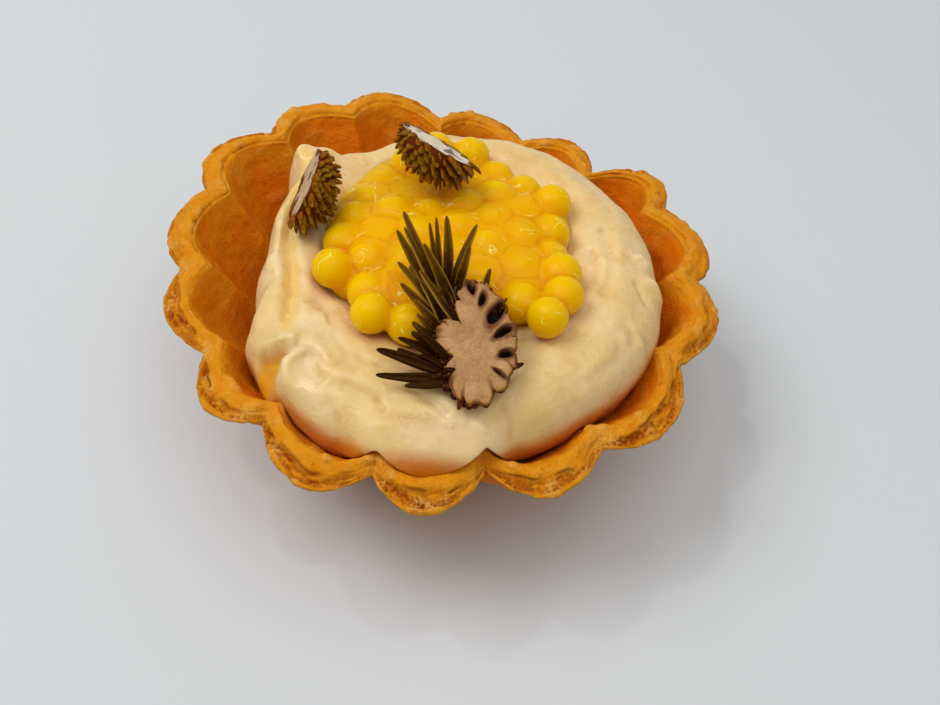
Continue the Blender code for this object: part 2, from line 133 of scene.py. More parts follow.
CREAM_BITE = 0.12  # the cream's side presses this far into the wall, so no gap shows
HOLLOW_Z = 16.6
HOLLOW_R = 6.0
# Folds left by the spoon: width, depth (a sharp ridge where it is under 0), and the line of each.
FOLDS = (
    (0.65, 0.8, ((-14.2, 8.6), (-14.2, -2.6), (-13.1, -6.6), (-12.5, -13.5))),
    (1.3, -0.5, ((-12.3, -2.0), (-11.5, -8.0), (-11.0, -13.0))),
    (0.8, 0.45, ((-10.5, -8.8), (-8.9, -13.7), (-7.0, -16.9), (-5.5, -17.6))),
    (0.6, -1.1, ((-15.7, -14.4), (-13.3, -14.9), (-11.3, -15.1))),
    (0.6, -1.4, ((-12.6, -16.1), (-11.9, -17.9), (-10.2, -21.2))),
    (0.9, 0.6, ((-11.0, -15.9), (-9.8, -17.4), (-8.4, -18.6))),
)
SHADED_FOLD = 0.7  # folds deeper than this get painted yellow shade
# Small nicks, creases and lumps of the cream's top, in the same form.
NICKS = (
    (0.35, 0.35, ((6.5, -19.6), (7.3, -20.5), (7.5, -21.4))),
    (0.4, 0.4, ((18.7, -4.4), (19.4, -5.6), (19.9, -6.2))),
    (0.5, 0.35, ((15.6, 2.2), (16.2, -2.0), (15.3, -6.2))),
    (0.3, 0.4, ((-4.1, -20.2), (-3.5, -21.0))),
    (0.5, -0.35, ((4.4, -21.6), (4.8, -21.8))),
    (0.4, 0.3, ((-8.1, -20.2), (-7.2, -21.5), (-6.8, -22.5))),
    (0.7, -0.45, ((17.2, -11.3), (18.3, -12.0))),
    (0.4, -0.3, ((-9.3, -20.7), (-8.8, -21.1))),
    (0.5, 0.3, ((-15.6, -14.8), (-13.6, -14.6), (-12.4, -15.2))),
    (0.5, -0.8, ((18.9, -1.2), (19.6, -1.7))),
    (0.7, -0.9, ((20.2, -3.6), (21.0, -4.4))),
    (0.6, -0.5, ((18.9, -10.8), (19.6, -11.4))),
    (0.5, 0.45, ((14.2, -0.6), (15.0, -2.4), (14.6, -4.4))),
    (0.45, -0.35, ((-9.9, -12.0), (-8.6, -14.2), (-7.6, -16.0))),
    (0.4, 0.3, ((-1.4, -19.0), (0.2, -19.9), (1.6, -20.9))),
)
CREASE_COUNT = 30  # more such creases, scattered over the front half
POCKET = ((-13.3, -15.2), (-13.9, -16.4), (-15.0, -18.2))  # the open end of the widest fold
POCKET_R = 1.5
POCKET_DEPTH = 2.7
LEDGE = (-15.7, -14.5, -0.16)  # the ledge over it: a point's x and y, and its slope

# Painted shade with reflected crust orange on the cream: up to this height over the lip, more in front,
# and near the wall.
SHADE_OVER_LIP = 0.9
SHADE_MORE_IN_FRONT = 1.2
FRONT_ANGLE = 271.0
FRONT_HALF_WIDTH = 13.0
SHADE_FADE = 1.5
SHADE_REACH = 2.6

# Pearls, each 3.9 across, on a domed bed. At each angle: how far out their centres lie.
PEARL_R = 1.95
PEARL_PITCH = 3.6
PEARL_COUNT = 44
LOWER_PEARLS = 46  # pearls of the layer under, seen between the others
LOWER_SINK = 1.0
LOWER_PITCH = 2.9
HEAP_EDGE = (
    (0, 10.5), (22, 11.0), (50, 9.6), (90, 11.0), (120, 9.2), (148, 7.8), (168, 7.6),
    (190, 9.3), (215, 11.6), (229, 9.2), (245, 13.0), (268, 11.6), (284, 9.4), (295, 10.4),
    (312, 13.4), (330, 13.0), (347, 10.6),
)
HEAP_Z = 20.2
HEAP_RISE = 1.3
DENTS = ((3.6, -10.5, 4.6, 1.4), (-1.0, 5.5, 4.5, 1.2))  # under two of the shoots
PLACED_PEARLS = (
    (-9.5, -6.6), (-5.4, -11.9), (-2.1, -12.4), (9.9, -11.1), (11.4, -8.2),
    (10.4, 0.9), (10.6, 4.6), (-9.0, -2.6),
)
# The gel that joins the pearls. At each angle: how far out it comes.
GEL_EDGE = (
    (0, 12.3), (12, 13.0), (30, 13.5), (46, 11.4), (62, 12.2), (83, 13.4), (117, 12.1),
    (145, 11.4), (166, 11.2), (190, 10.8), (213, 9.6), (233, 11.0), (246, 12.2), (268, 12.0),
    (284, 9.8), (300, 11.4), (314, 12.8), (328, 13.6), (343, 12.2),
)
# The gel's edge and top: how far in from its edge, and height over the pearls' centres.
GEL_PROFILE = (
    (0.3, -1.6), (0.05, -0.9), (0.0, -0.3), (0.15, 0.4), (0.5, 0.95), (1.1, 1.35),
    (2.2, 1.55), (4.0, 1.65), (6.5, 1.7),
)
GEL_COLUMNS = 96
PEARL_VOXEL = 0.17
SEAM_WIDTH = 0.4  # a point is in a seam where two pearls are as near to it as this
BATCH = 4000  # points measured at a time

# Front slice, in its own axes: its cut face's edge, its seed pockets and its needles.
SLICE_CENTRE = (3.5, -15.1, 23.28)
SLICE_LONG_AXIS = (-0.118, 0.975, 0.185)
SLICE_FACE_NORMAL = (0, -0.19, 0.98)
SLICE_DEPTH = 1.8
SLICE_EDGE_POINTS = 300
# Its side, from below: depth as a share of the slice's, and width as a share of the face's.
SLICE_SIDE = ((0.98, 0.3), (0.9, 0.55), (0.75, 0.78), (0.55, 0.92), (0.35, 0.99), (0.2, 1.0), (0.1, 1.0))
SLICE_OUTLINE = (
    (-0.7, 5.6), (0.0, 5.9), (1.0, 5.7), (1.7, 5.0), (2.3, 4.4), (2.9, 3.8), (3.2, 2.9),
    (3.3, 1.8), (3.7, 1.1), (3.6, -0.3), (3.6, -1.5), (3.3, -2.7), (2.7, -3.9), (2.2, -4.8),
    (1.6, -5.1), (0.8, -6.1), (-0.1, -5.9), (-0.8, -6.0), (-1.6, -5.4), (-2.2, -3.8), (-2.5, -2.6),
    (-1.9, -1.7), (-2.8, -1.2), (-3.1, -0.7), (-3.3, 0.5), (-2.8, 1.5), (-2.1, 2.0), (-1.2, 1.8),
    (-1.4, 3.1), (-1.3, 4.3),
)
# Seed pockets: middle u and v, half length, half width, and the angle of the long side.
SEED_POCKETS = (
    (0.1, 4.8, 0.62, 0.3, 105),
    (0.95, 3.75, 0.72, 0.27, 78),
    (2.0, 2.3, 1.15, 0.62, 62),
    (2.45, 0.55, 0.85, 0.38, 28),
    (2.55, -1.55, 0.72, 0.34, 12),
    (1.9, -3.2, 0.62, 0.2, -38),
)
# Needles: tip u, v and w, then root u and v, then width. Each root is under the slice.
NEEDLES = (
    (-5.6, 11.2, 2.5, -2.2, 3.0, 0.86),
    (-6.2, 9.4, 2.3, -2.6, 3.5, 0.84),
    (-5.6, 9.4, 2.7, -2.2, 3.0, 0.8),
    (-3.4, 10.1, 2.4, -2.5, 5.4, 0.5),
    (-2.8, 10.6, 2.5, -2.5, 5.4, 0.52),
    (-1.9, 10.7, 2.5, -2.0, 5.0, 0.84),
    (0.7, 9.8, 2.5, -1.7, 4.4, 0.86),
    (0.0, 7.9, 2.2, -1.2, 4.4, 0.78),
    (-4.0, 7.6, 2.9, -1.2, 3.0, 0.84),
    (-6.2, 6.7, 1.5, -2.3, 2.2, 0.8),
    (-6.0, 4.7, 1.3, -2.7, 1.9, 0.8),
    (-4.4, 5.4, 2.2, -1.0, 1.4, 0.78),
    (-4.3, 4.7, 1.4, -2.5, 1.6, 0.7),
    (-4.7, 2.2, 0.4, -2.6, 0.4, 0.7),
    (-5.1, 1.5, 0.3, -2.9, 0.1, 0.7),
    (-5.2, 0.5, 0.4, -2.8, -1.0, 0.76),
    (-6.3, 0.1, 0.2, -2.9, -1.6, 0.78),
    (-6.4, -0.8, -0.1, -3.0, -2.2, 0.74),
    (-4.5, 0.1, 0.8, -2.1, -1.9, 0.76),
    (-8.1, -0.9, 0.1, -2.6, -2.8, 0.9),
    (-8.2, -3.1, -0.2, -2.3, -3.2, 0.76),
    (-5.9, -4.2, -0.1, -2.2, -3.7, 0.72),
    (-4.9, 8.1, 1.4, -2.0, 2.6, 0.78),
    (-5.2, 6.6, 1.0, -2.2, 1.8, 0.76),
    (-3.4, 7.0, 1.8, -1.6, 2.6, 0.8),
    (-4.9, 3.4, 0.8, -2.4, 0.9, 0.72),
    (-4.6, -1.6, 0.3, -2.2, -2.6, 0.74),
    (1.9, 7.0, -0.2, 1.2, 4.8, 0.6),
    (3.2, 4.1, -0.3, 2.4, 3.0, 0.4),
)
NEEDLE_ROOT_W = -0.7
NEEDLE_THICKNESS = 0.5  # share of its width
NEEDLE_SCALE = 1.12
LOW_NEEDLE_SHADE = 0.8  # the lowest needles are darker
FLAKE_COUNT = 34
FLAKES_FROM, FLAKES_TO = 160, 255  # points of the slice's edge
STUB_COUNT = 60  # dark stubs between the needles' roots
# Dark resin beads on the slice's broken side: u, v, w and radius.
RESIN_BEADS = (
    (-2.9, 2.5, -0.35, 0.4),
    (-3.2, 1.8, -0.45, 0.38),
    (-2.8, 0.5, -0.8, 0.5),
    (-2.7, -0.7, -0.6, 0.4),
    (-2.45, -2.1, -0.4, 0.42),
    (-2.1, -2.8, -0.3, 0.5),
    (-2.7, -3.1, -0.6, 0.55),
    (-2.3, -4.0, -0.6, 0.5),
    (-1.8, -4.9, -0.8, 0.45),
    (-1.1, -5.6, -0.7, 0.35),
)
RESIN_SPIKE = ((3.1, -2.5, -0.5), (4.05, -2.35, -0.1))

# The two other shoots: centre, long axis, side the cut face looks to, size and depth.
BACK_SHOOT = ((-1.0, 5.2, 26.72), (0.875, -0.43, -0.217), (0.42, 0.45, 0.79), (0.8, 0.66), 3.2)
LEFT_SHOOT = ((-13.0, 1.0, 23.8), (-0.2, -0.9, -0.35), (-0.9, -0.08, 0.42), (0.72, 0.64), 2.8)
HALF_SHOOT_EDGE = (
    (0, 3.4), (45, 4.3), (90, 5.9), (135, 4.5), (180, 3.4), (230, 4.3), (270, 5.8), (310, 4.5),
)
HALF_SHOOT_POINTS = 160
SCALE_COUNT = 130  # short flat scales on the back of each of the two
SCALE_TURN = 137.5  # from one scale to the next, so that they fill the back evenly

# Relief in layers: how strong each is, how large its lumps are, and its seed.
CRUST_RELIEF = ((0.18, 5.0, 11), (0.12, 1.8, 12), (0.09, 0.7, 13))
LIP_RELIEF = ((0.16, 2.2, 31), (0.08, 1.3, 32))
LAYER_WANDER = ((0.14, 3.0, 1), (0.05, 0.8, 2))
CREAM_RELIEF = ((0.2, 3.2, 18), (0.04, 1.2, 28))
PITH_RELIEF = ((0.1, 1.3, 20), (0.05, 0.45, 21))
BARK_RELIEF = ((0.16, 0.8, 22), (0.1, 0.35, 23))

# The camera, for a picture 940 pixels wide and 705 high.
CAMERA_PLACE = (0.0, -65.86, 84.96)
CAMERA_PITCH = 51.34
CAMERA_TURN = 3.785
CAMERA_ROLL = 8.05
FOCAL_PX = 958.0
PICTURE_WIDTH_PX = 940.0
SENSOR_WIDTH = 36.0

# Daylight from a window up on the left, and two weaker lights: place, size and power.
LIGHTS = {
    "window": ((-400, 20, 540), 290, 1.85),
    "ceiling": ((60, -40, 480), 420, 0.8),
    "pane": ((-130, 60, 300), 14, 0.06),
}
ROOM_LIGHT = 0.42
TABLE_HALF = 1500.0

# Colours, as they look in daylight.
RIM_GOLD = "#E69A1C"
BAKED_GOLD = "#DE8A0C"
BAKED_ORANGE = "#DC7200"
# Painted shade, deep down inside the flutes.
FLUTE_SHADE_ORANGE = "#BE5000"
LAYER_RED = "#8E3400"
# Dark specks, and painted shade in the lip's crack.
SPECK_AND_CRACK_SHADE = "#702602"
PALE_BLISTER = "#EBB45C"
CREAM_IVORY = "#E4C380"
CREAM_PALE = "#EACE9A"
CREAM_DEEP = "#D8AC66"
# Painted yellow shade down in the deep folds.
CREAM_FOLD_SHADE = "#EFCC74"
# Painted shade in the pocket under the ledge.
CREAM_POCKET_SHADE = "#E0A010"
# Painted shade with reflected crust orange, low on the cream near the wall.
CREAM_BRIM_SHADE = "#D07800"
PEARL_YELLOW = "#F2B000"
PEARL_EDGE = "#EEB400"
# Painted shade in the seams between the pearls.
PEARL_SEAM_SHADE = "#DC8C00"
PEARL_GLINT = "#FFE27A"
NEEDLE_OLIVE = "#6E4A08"
NEEDLE_DARK = "#281002"
# Pale needle edges and scale tips; on the needles this is partly painted highlight.
PALE_TIP_AND_EDGE_SHEEN = "#AC8430"
CUT_BEIGE = "#C89C6E"
CUT_PINK = "#A0744A"
CUT_PALE = "#EEE0CC"
CUT_OCHRE = "#B47818"
POCKET_BLACK = "#0C0706"
POCKET_BROWN = "#5A2206"
RESIN_RED = "#160301"
RESIN_BROWN = "#3E0E02"
BARK_OCHRE = "#602806"
SCALE_BROWN = "#8A4E04"
SCALE_OLIVE = "#80580A"
FLOOR_PALE = "#CED6DE"
ROOM_PALE = "#F4EFE6"
WARM_SHEEN = "#FFC060"
RESIN_SHEEN = "#FFB070"


def linear(colour):
    """A colour such as #D99A35 as the four linear numbers that a socket takes."""
    parts = [int(colour[k : k + 2], 16) / 255 for k in (1, 3, 5)]
    return (*[p / 12.92 if p < 0.04045 else ((p + 0.055) / 1.055) ** 2.4 for p in parts], 1.0)


# Shader wiring.
class Wire:
    """A shader socket that takes part in sums. Each sum adds its Math node."""

    def __init__(self, finish, socket):
        self.finish = finish
        self.socket = socket

    def math(self, operation, first, second):
        return self.finish.node("ShaderNodeMath", {"operation": operation}, {0: first, 1: second})

    def __add__(self, other):
        return self.math("ADD", self, other)

    __radd__ = __add__

    def __sub__(self, other):
        return self.math("SUBTRACT", self, other)

    def __rsub__(self, other):
        return self.math("SUBTRACT", other, self)

    def __mul__(self, other):
        return self.math("MULTIPLY", self, other)

    __rmul__ = __mul__


class Finish:
    """One material, with what its nodes need."""

    def __init__(self, name):
        self.material = bpy.data.materials.new(name)
        self.material.use_nodes = True
        self.tree = self.material.node_tree
        self.shader = self.tree.nodes["Principled BSDF"]
        spot = self.node("ShaderNodeTexCoord", output="Object")
        scaling = {"operation": "SCALE"}
        self.spot = self.node("ShaderNodeVectorMath", scaling, {0: spot, "Scale": 1 / MM})

    def node(self, kind, settings=None, inputs=None, output=0):
        """Adds a node, sets it, fills or links its sockets, and gives one of its outputs."""
        made = self.tree.nodes.new(kind)
        for key, value in (settings or {}).items():
            setattr(made, key, value)
        for key, value in (inputs or {}).items():
            if isinstance(value, Wire):
                self.tree.links.new(value.socket, made.inputs[key])
            else:
                made.inputs[key].default_value = value
        return Wire(self, made.outputs[output])

    def mark(self, name):
        """A value stored on the mesh's points."""
        settings = {"attribute_name": name, "attribute_type": "GEOMETRY"}
        return self.node("ShaderNodeAttribute", settings, output="Fac")

    def grain(self, size, detail=3.0, roughness=0.55, stretch=(1, 1, 1)):
        """Noise from 0 to 1 with lumps about this many millimetres across."""
        scaled = {0: self.spot, 1: stretch}
        place = self.node("ShaderNodeVectorMath", {"operation": "MULTIPLY"}, scaled)
        inputs = {"Vector": place, "Scale": 1 / size, "Detail": detail, "Roughness": roughness}
        return self.node("ShaderNodeTexNoise", {"noise_dimensions": "3D"}, inputs)

    def cells(self, size):
        """Distance to the nearest of many points scattered about this many millimetres apart."""
        inputs = {"Vector": self.spot, "Scale": 1 / size}
        return self.node("ShaderNodeTexVoronoi", {"feature": "F1"}, inputs, "Distance")

    def step(self, value, low, high):
        """0 under low, 1 over high, and smooth between."""
        inputs = {"Value": value, "From Min": low, "From Max": high}
        return self.node("ShaderNodeMapRange", {"interpolation_type": "SMOOTHSTEP"}, inputs)

    def blend(self, share, first, second):
        """The first colour where share is 0, and the second where it is 1."""
        pair = [linear(c) if isinstance(c, str) else c for c in (first, second)]
        inputs = {0: share, 6: pair[0], 7: pair[1]}
        return self.node("ShaderNodeMix", {"data_type": "RGBA"}, inputs, 2)

    def relief(self, height, distance):
        """A bump of this many millimetres, for the shader's normal."""
        inputs = {"Height": height, "Distance": distance * MM, "Strength": 1.0}
        return self.node("ShaderNodeBump", {}, inputs)

    def surface(self, **values):
        """Sets or links the shader's own sockets. A name's underscores stand for spaces."""
        for key, value in values.items():
            socket = self.shader.inputs[key.replace("_", " ")]
            if isinstance(value, Wire):
                self.tree.links.new(value.socket, socket)
            else:
                socket.default_value = value
        return self.material


def crust_finish():
    """Golden shortcrust: paler on the lip and its blisters, with painted shade in deep orange down inside
    the flutes and in the lip's crack.
    """
    f = Finish("golden_crust")
    broad = f.grain(4.5, 3.0)
    patch = f.grain(1.5, 4.0, 0.6)
    fine = f.grain(0.35, 4.0, 0.65)
    baked = f.blend(f.step(broad + 0.5 * patch, 0.62, 0.92), BAKED_ORANGE, BAKED_GOLD)
    # Painted shade: deep orange down in the flutes, stronger on the right side.
    baked = f.blend(f.mark("hollow") * f.step(broad, 0.25, 0.6), baked, FLUTE_SHADE_ORANGE)
    lip = f.blend(f.step(patch + 0.3 * fine, 0.45, 0.8), BAKED_GOLD, RIM_GOLD)
    baked = f.blend(f.mark("lip") * 0.9, baked, lip)
    baked = f.blend(f.step(patch, 0.36, 0.22) * 0.55, baked, BAKED_ORANGE)
    baked = f.blend(f.mark("layer") * f.step(0.6 * fine + 0.4 * patch, 0.66, 0.44), baked, LAYER_RED)
    baked = f.blend(f.mark("blister") * f.step(fine, 0.35, 0.7) * 0.7, baked, PALE_BLISTER)
    speck = f.step(f.grain(0.6, 2.0), 0.66, 0.74)
    baked = f.blend(speck * 0.4, baked, SPECK_AND_CRACK_SHADE)
    # Painted shade: the crack between the lip's layers is darkened.
    baked = f.blend(f.mark("split") * 0.7, baked, SPECK_AND_CRACK_SHADE)
    return f.surface(
        Base_Color=baked,
        Roughness=0.62 - 0.22 * patch,
        Specular_IOR_Level=0.07,
        Subsurface_Weight=0.12,
        Subsurface_Radius=(1.0, 0.45, 0.15),
        Subsurface_Scale=0.0008,
        Normal=f.relief(0.6 * patch + 0.6 * fine + 0.3 * f.grain(0.12, 3.0), 0.34),
    )


def cream_finish():
    """Smooth ivory cream, with painted yellow shade down in its deep folds and its pocket, and painted
    shade with reflected crust orange where it lies in the pastry.
    """
    f = Finish("ivory_cream")
    broad = f.grain(7.0, 2.0)
    fine = f.grain(0.5, 4.0, 0.6)
    cream = f.blend(f.step(broad + 0.25 * fine, 0.45, 0.8), CREAM_IVORY, CREAM_PALE)
    cream = f.blend(f.step(f.grain(2.6, 3.0), 0.5, 0.75) * 0.55, cream, CREAM_DEEP)
    # Painted shade: the deep folds turn yellower.
    cream = f.blend(f.step(f.mark("fold"), 0.12, 0.8) * 0.8, cream, CREAM_FOLD_SHADE)
    # Painted shade: ochre in the pocket.
    cream = f.blend(f.mark("pocket"), cream, CREAM_POCKET_SHADE)
    # Painted shade with reflected crust orange at the brim.
    cream = f.blend(f.mark("brim"), cream, CREAM_BRIM_SHADE)
    pits = f.step(f.cells(0.9), 0.16, 0.04) * f.step(f.grain(2.2, 1.0), 0.55, 0.65)
    wet = f.step(f.grain(2.4, 2.0), 0.5, 0.62)
    return f.surface(
        Base_Color=cream,
        Roughness=0.42 + 0.1 * fine - 0.28 * wet,
        Specular_IOR_Level=0.5,
        Subsurface_Weight=0.8,
        Subsurface_Radius=(1.0, 0.9, 0.6),
        Subsurface_Scale=0.0014,
        Normal=f.relief(0.5 * fine + 0.7 * f.grain(1.1, 2.0) + 0.5 * wet * fine - 0.7 * pits, 0.1),
    )


def pearl_finish():
    """Clear yellow gel, with painted orange shade in the seams between the pearls, and thin glints of the
    window.
    """
    f = Finish("yellow_gel")
    gel = f.blend(f.step(f.grain(3.0, 2.0), 0.4, 0.65), PEARL_YELLOW, PEARL_EDGE)
    # Painted shade: orange where two pearls meet.
    gel = f.blend(f.mark("seam") * f.step(f.grain(1.3, 2.0), 0.35, 0.6) * 0.6, gel, PEARL_SEAM_SHADE)
    contour = f.grain(1.5, 1.0, 0.4) - 0.5
    line = f.step(contour * contour, 0.0003, 0.00003)
    glint = line * f.step(f.grain(1.9, 1.0), 0.56, 0.62)
    gel = f.blend(glint, gel, PEARL_GLINT)
    return f.surface(
        Base_Color=gel,
        Roughness=0.12 + 0.1 * f.grain(0.8, 2.0),
        IOR=1.37,
        Specular_IOR_Level=0.14,
        Subsurface_Weight=1.0,
        Subsurface_Radius=(1.0, 1.0, 0.1),
        Subsurface_Scale=0.005,
        Normal=f.relief(f.grain(0.6, 3.0) + glint, 0.14),
    )


def needle_finish():
    """Olive brown needles, darker at the root, with pale edges that are partly painted highlight, and a
    dark line along the groove.
    """
    f = Finish("needle_olive")
    streak = f.grain(0.5, 3.0)
    green = f.blend(f.step(0.4 * streak + 0.7 * f.mark("reach"), 0.36, 0.84), NEEDLE_DARK, NEEDLE_OLIVE)
    green = f.blend(f.mark("groove") * 0.7, green, NEEDLE_DARK)
    # Painted highlight in part: the needles' edges are lighter.
    green = f.blend(f.step(f.mark("margin"), 0.72, 0.92) * 0.75, green, PALE_TIP_AND_EDGE_SHEEN)
    return f.surface(
        Base_Color=green,
        Roughness=0.14 + 0.2 * streak,
        Specular_IOR_Level=0.2,
        Specular_Tint=linear(WARM_SHEEN),
        Normal=f.relief(f.grain(0.15, 3.0), 0.03),
    )


def cut_finish():
    """The cut face: fine beige pith, ochre at its edge, with black seed pockets."""
    f = Finish("cut_pith")
    fine = f.grain(0.22, 4.0, 0.7)
    broad = f.grain(1.6, 3.0)
    pith = f.blend(f.step(0.7 * broad + 0.8 * fine, 0.45, 1.05), CUT_PINK, CUT_BEIGE)
    fibre = f.step(f.cells(0.28), 0.2, 0.02)
    pith = f.blend(fibre * 0.25, pith, CUT_OCHRE)
    pith = f.blend(f.step(f.mark("edge") + 0.4 * broad, 1.06, 1.22) * 0.7, pith, CUT_OCHRE)
    pith = f.blend(f.mark("pale"), pith, CUT_PALE)
    pith = f.blend(f.step(f.mark("edge") + 0.1 * broad, 1.0, 1.04) * 0.85, pith, POCKET_BROWN)
    pith = f.blend(f.mark("pocket_rim"), pith, POCKET_BROWN)
    pith = f.blend(f.mark("bark"), pith, BARK_OCHRE)
    pith = f.blend(f.mark("pocket"), pith, POCKET_BLACK)
    return f.surface(
        Base_Color=pith,
        Roughness=0.65 - 0.3 * f.mark("pocket"),
        Specular_IOR_Level=0.07,
        Subsurface_Weight=0.1,
        Subsurface_Radius=(1.0, 0.6, 0.4),
        Subsurface_Scale=0.0005,
        Normal=f.relief(0.7 * fine + 0.5 * f.grain(0.6, 2.0), 0.1),
    )


def scale_finish():
    """The outside of the two side shoots: olive to red brown scales."""
    f = Finish("scale_brown")
    patch = f.grain(1.6, 3.0)
    fine = f.grain(0.3, 3.0)
    scale = f.blend(f.step(patch, 0.4, 0.6), SCALE_BROWN, SCALE_OLIVE)
    scale = f.blend(f.step(fine, 0.5, 0.75) * 0.6, scale, NEEDLE_DARK)
    scale = f.blend(f.step(f.mark("reach"), 0.75, 1.0) * 0.45, scale, PALE_TIP_AND_EDGE_SHEEN)
    return f.surface(
        Base_Color=scale,
        Roughness=0.45 + 0.25 * fine,
        Specular_IOR_Level=0.12,
        Specular_Tint=linear(WARM_SHEEN),
        Normal=f.relief(fine, 0.05),
    )


def resin_finish():
    """Sticky dark red resin."""
    f = Finish("dark_resin")
    patch = f.grain(0.7, 3.0)
    return f.surface(
        Base_Color=f.blend(f.step(patch, 0.45, 0.7), RESIN_RED, RESIN_BROWN),
        Roughness=0.12 + 0.16 * patch,
        Specular_IOR_Level=0.25,
        Specular_Tint=linear(RESIN_SHEEN),
        Normal=f.relief(f.grain(0.4, 2.0), 0.08),
    )


def floor_finish():
    """A plain pale table."""
    f = Finish("pale_table")
    broad = f.grain(60.0, 2.0)
    return f.surface(
        Base_Color=f.blend(broad * 0.12, FLOOR_PALE, CREAM_PALE),
        Roughness=0.75,
        Normal=f.relief(f.grain(0.6, 2.0), 0.01),
    )


# Shape helpers.
def smooth(t):
    """0 under 0, 1 over 1, and smooth between."""
    t = np.clip(t, 0.0, 1.0)
    return t * t * (3 - 2 * t)


def lumps(points, size, seed):
    """Smooth noise from -1 to 1 at each point, with lumps about this size across."""
    lattice = np.random.default_rng(seed).uniform(-1, 1, (24, 24, 24))
    spots = np.asarray(points, float) / size
    cell = np.floor(spots).astype(int)
    share = smooth(spots - cell)
    total = 0.0
    for corner in itertools.product((0, 1), repeat=3):
        weight = np.prod(np.where(corner, share, 1 - share), axis=-1)
        i, j, k = np.moveaxis((cell + corner) % 24, -1, 0)
        total = total + weight * lattice[i, j, k]
    return total


def layered(points, layers):
    """Noise in several layers: how strong each is, how large its lumps are, and its seed."""
    return sum(strength * lumps(points, size, seed) for strength, size, seed in layers)


def around(table, column, angle):
    """A value of the table at this angle, turning smoothly from one entry to the next."""
    angle = np.asarray(angle) % 360
    stops = np.array([row[0] for row in table] + [table[0][0] + 360.0])
    values = np.array([row[column] for row in table] + [table[0][column]])
    k = np.clip(np.searchsorted(stops, angle, side="right") - 1, 0, len(table) - 1)
    share = smooth((angle - stops[k]) / (stops[k + 1] - stops[k]))
    return values[k] + (values[k + 1] - values[k]) * share


def ring(angles, radius, height):
    """Points round the z axis."""
    height = np.broadcast_to(height, np.shape(angles))
    return np.stack([radius * np.cos(angles), radius * np.sin(angles), height], axis=-1)


def mesh_piece(name, body, finish):
    """A smooth object of one material from points, faces and marks, kept inside the CAD box."""
    points, faces, marks = body
    low, high = (np.array(corner) / MM for corner in cad_box)
    mesh = bpy.data.meshes.new(name)
    mesh.from_pydata((np.clip(points, low, high) * MM).tolist(), [], faces)
    for mark, values in marks.items():
        stored = mesh.attributes.new(mark, "FLOAT", "POINT")
        stored.data.foreach_set("value", np.asarray(values, np.float32).ravel())
    mesh.materials.append(finish)
    mesh.shade_smooth()
    obj = bpy.data.objects.new(name, mesh)
    bpy.context.scene.collection.objects.link(obj)
    return obj


def sheet_faces(rows, columns):
    """Faces through rows of points that close round, each anticlockwise from above."""
    faces = []
    for k in range(rows - 1):
        for i in range(columns):
            j = (i + 1) % columns
            a, b = k * columns, (k + 1) * columns
            faces.append((a + i, a + j, b + j, b + i))
    return faces


def closed_skin(grid):
    """Points and faces of a grid of rings, closed at the middle of its first and last ring."""
    rows, columns = grid.shape[:2]
    points = np.vstack([grid.reshape(-1, 3), grid[0].mean(axis=0), grid[-1].mean(axis=0)])
    low, high, last = len(points) - 2, len(points) - 1, (rows - 1) * columns
    faces = sheet_faces(rows, columns)
    for i in range(columns):
        j = (i + 1) % columns
        faces.append((low, j, i))
        faces.append((last + i, last + j, high))
    return points, faces


def closed_mark(values):
    """A grid of values with one more for each end point of closed_skin()."""
    return np.append(values.ravel(), [values[0].mean(), values[-1].mean()])


def outward(grid):
    """Unit normals of a grid of rings that close round."""
    along = np.roll(grid, -1, axis=1) - np.roll(grid, 1, axis=1)
    up = np.gradient(grid, axis=0)
    normal = np.cross(along, up)
    return normal / np.maximum(np.linalg.norm(normal, axis=-1, keepdims=True), 1e-9)


def merged(parts):
    """Several (points, faces, marks) as one."""
    points, faces, marks, first = [], [], {}, 0
    for part_points, part_faces, part_marks in parts:
        points.append(part_points)
        faces.extend(tuple(first + i for i in face) for face in part_faces)
        first += len(part_points)
        for mark, values in part_marks.items():
            marks.setdefault(mark, []).append(np.ravel(values))
    return np.vstack(points), faces, {mark: np.concatenate(v) for mark, v in marks.items()}


def bead(centre, radius, seed, roughness=0.25, subdivisions=3):
    """An uneven bead, as points and faces."""
    mesh = bmesh.new()
    bmesh.ops.create_icosphere(mesh, subdivisions=subdivisions, radius=1.0)
    unit = np.array([v.co for v in mesh.verts])
    faces = [tuple(v.index for v in face.verts) for face in mesh.faces]
    mesh.free()
    size = radius * (1 + roughness * lumps(unit + seed, 0.8, 40))
    return unit * size[:, None] + np.array(centre), faces


# The pastry cup.
def flute_columns(per_flute):
    """Columns round the cup: angle, pinch radius there, swell of its flute, and how far the
    column is from the tip, from 0 at the tip to 1 at a pinch."""
    rows = []
    half = per_flute // 2
    for k, (pinch, pinch_r, tip, tip_r) in enumerate(FLUTES):
        after = FLUTES[(k + 1) % len(FLUTES)]
        end = after[0] + (360 if k == len(FLUTES) - 1 else 0)
        for i in range(per_flute):
            if i < half:
                angle = pinch + (tip - pinch) * i / half
                off_tip = 1 - i / half
            else:
                angle = tip + (end - tip) * (i - half) / (per_flute - half)
                off_tip = (i - half) / (per_flute - half)
            across = (angle - pinch) / (end - pinch)
            ridge = pinch_r + (after[1] - pinch_r) * across
            rows.append((math.radians(angle), ridge, tip_r - (pinch_r + after[1]) / 2, off_tip))
    return np.array(rows).T


def rim_height(angle):
    """Height of the lip's outer edge."""
    turn = (np.degrees(angle) - DROP_ANGLE + 180) % 360 - 180
    bump = np.clip(1 - (turn / DROP_HALF_WIDTH) ** 2, 0, 1) ** 2
    wave = 0.22 * np.sin(3 * angle + 0.8) + 0.16 * np.sin(7 * angle + 2.1)
    return RIM_Z - RIM_DROP * bump + wave


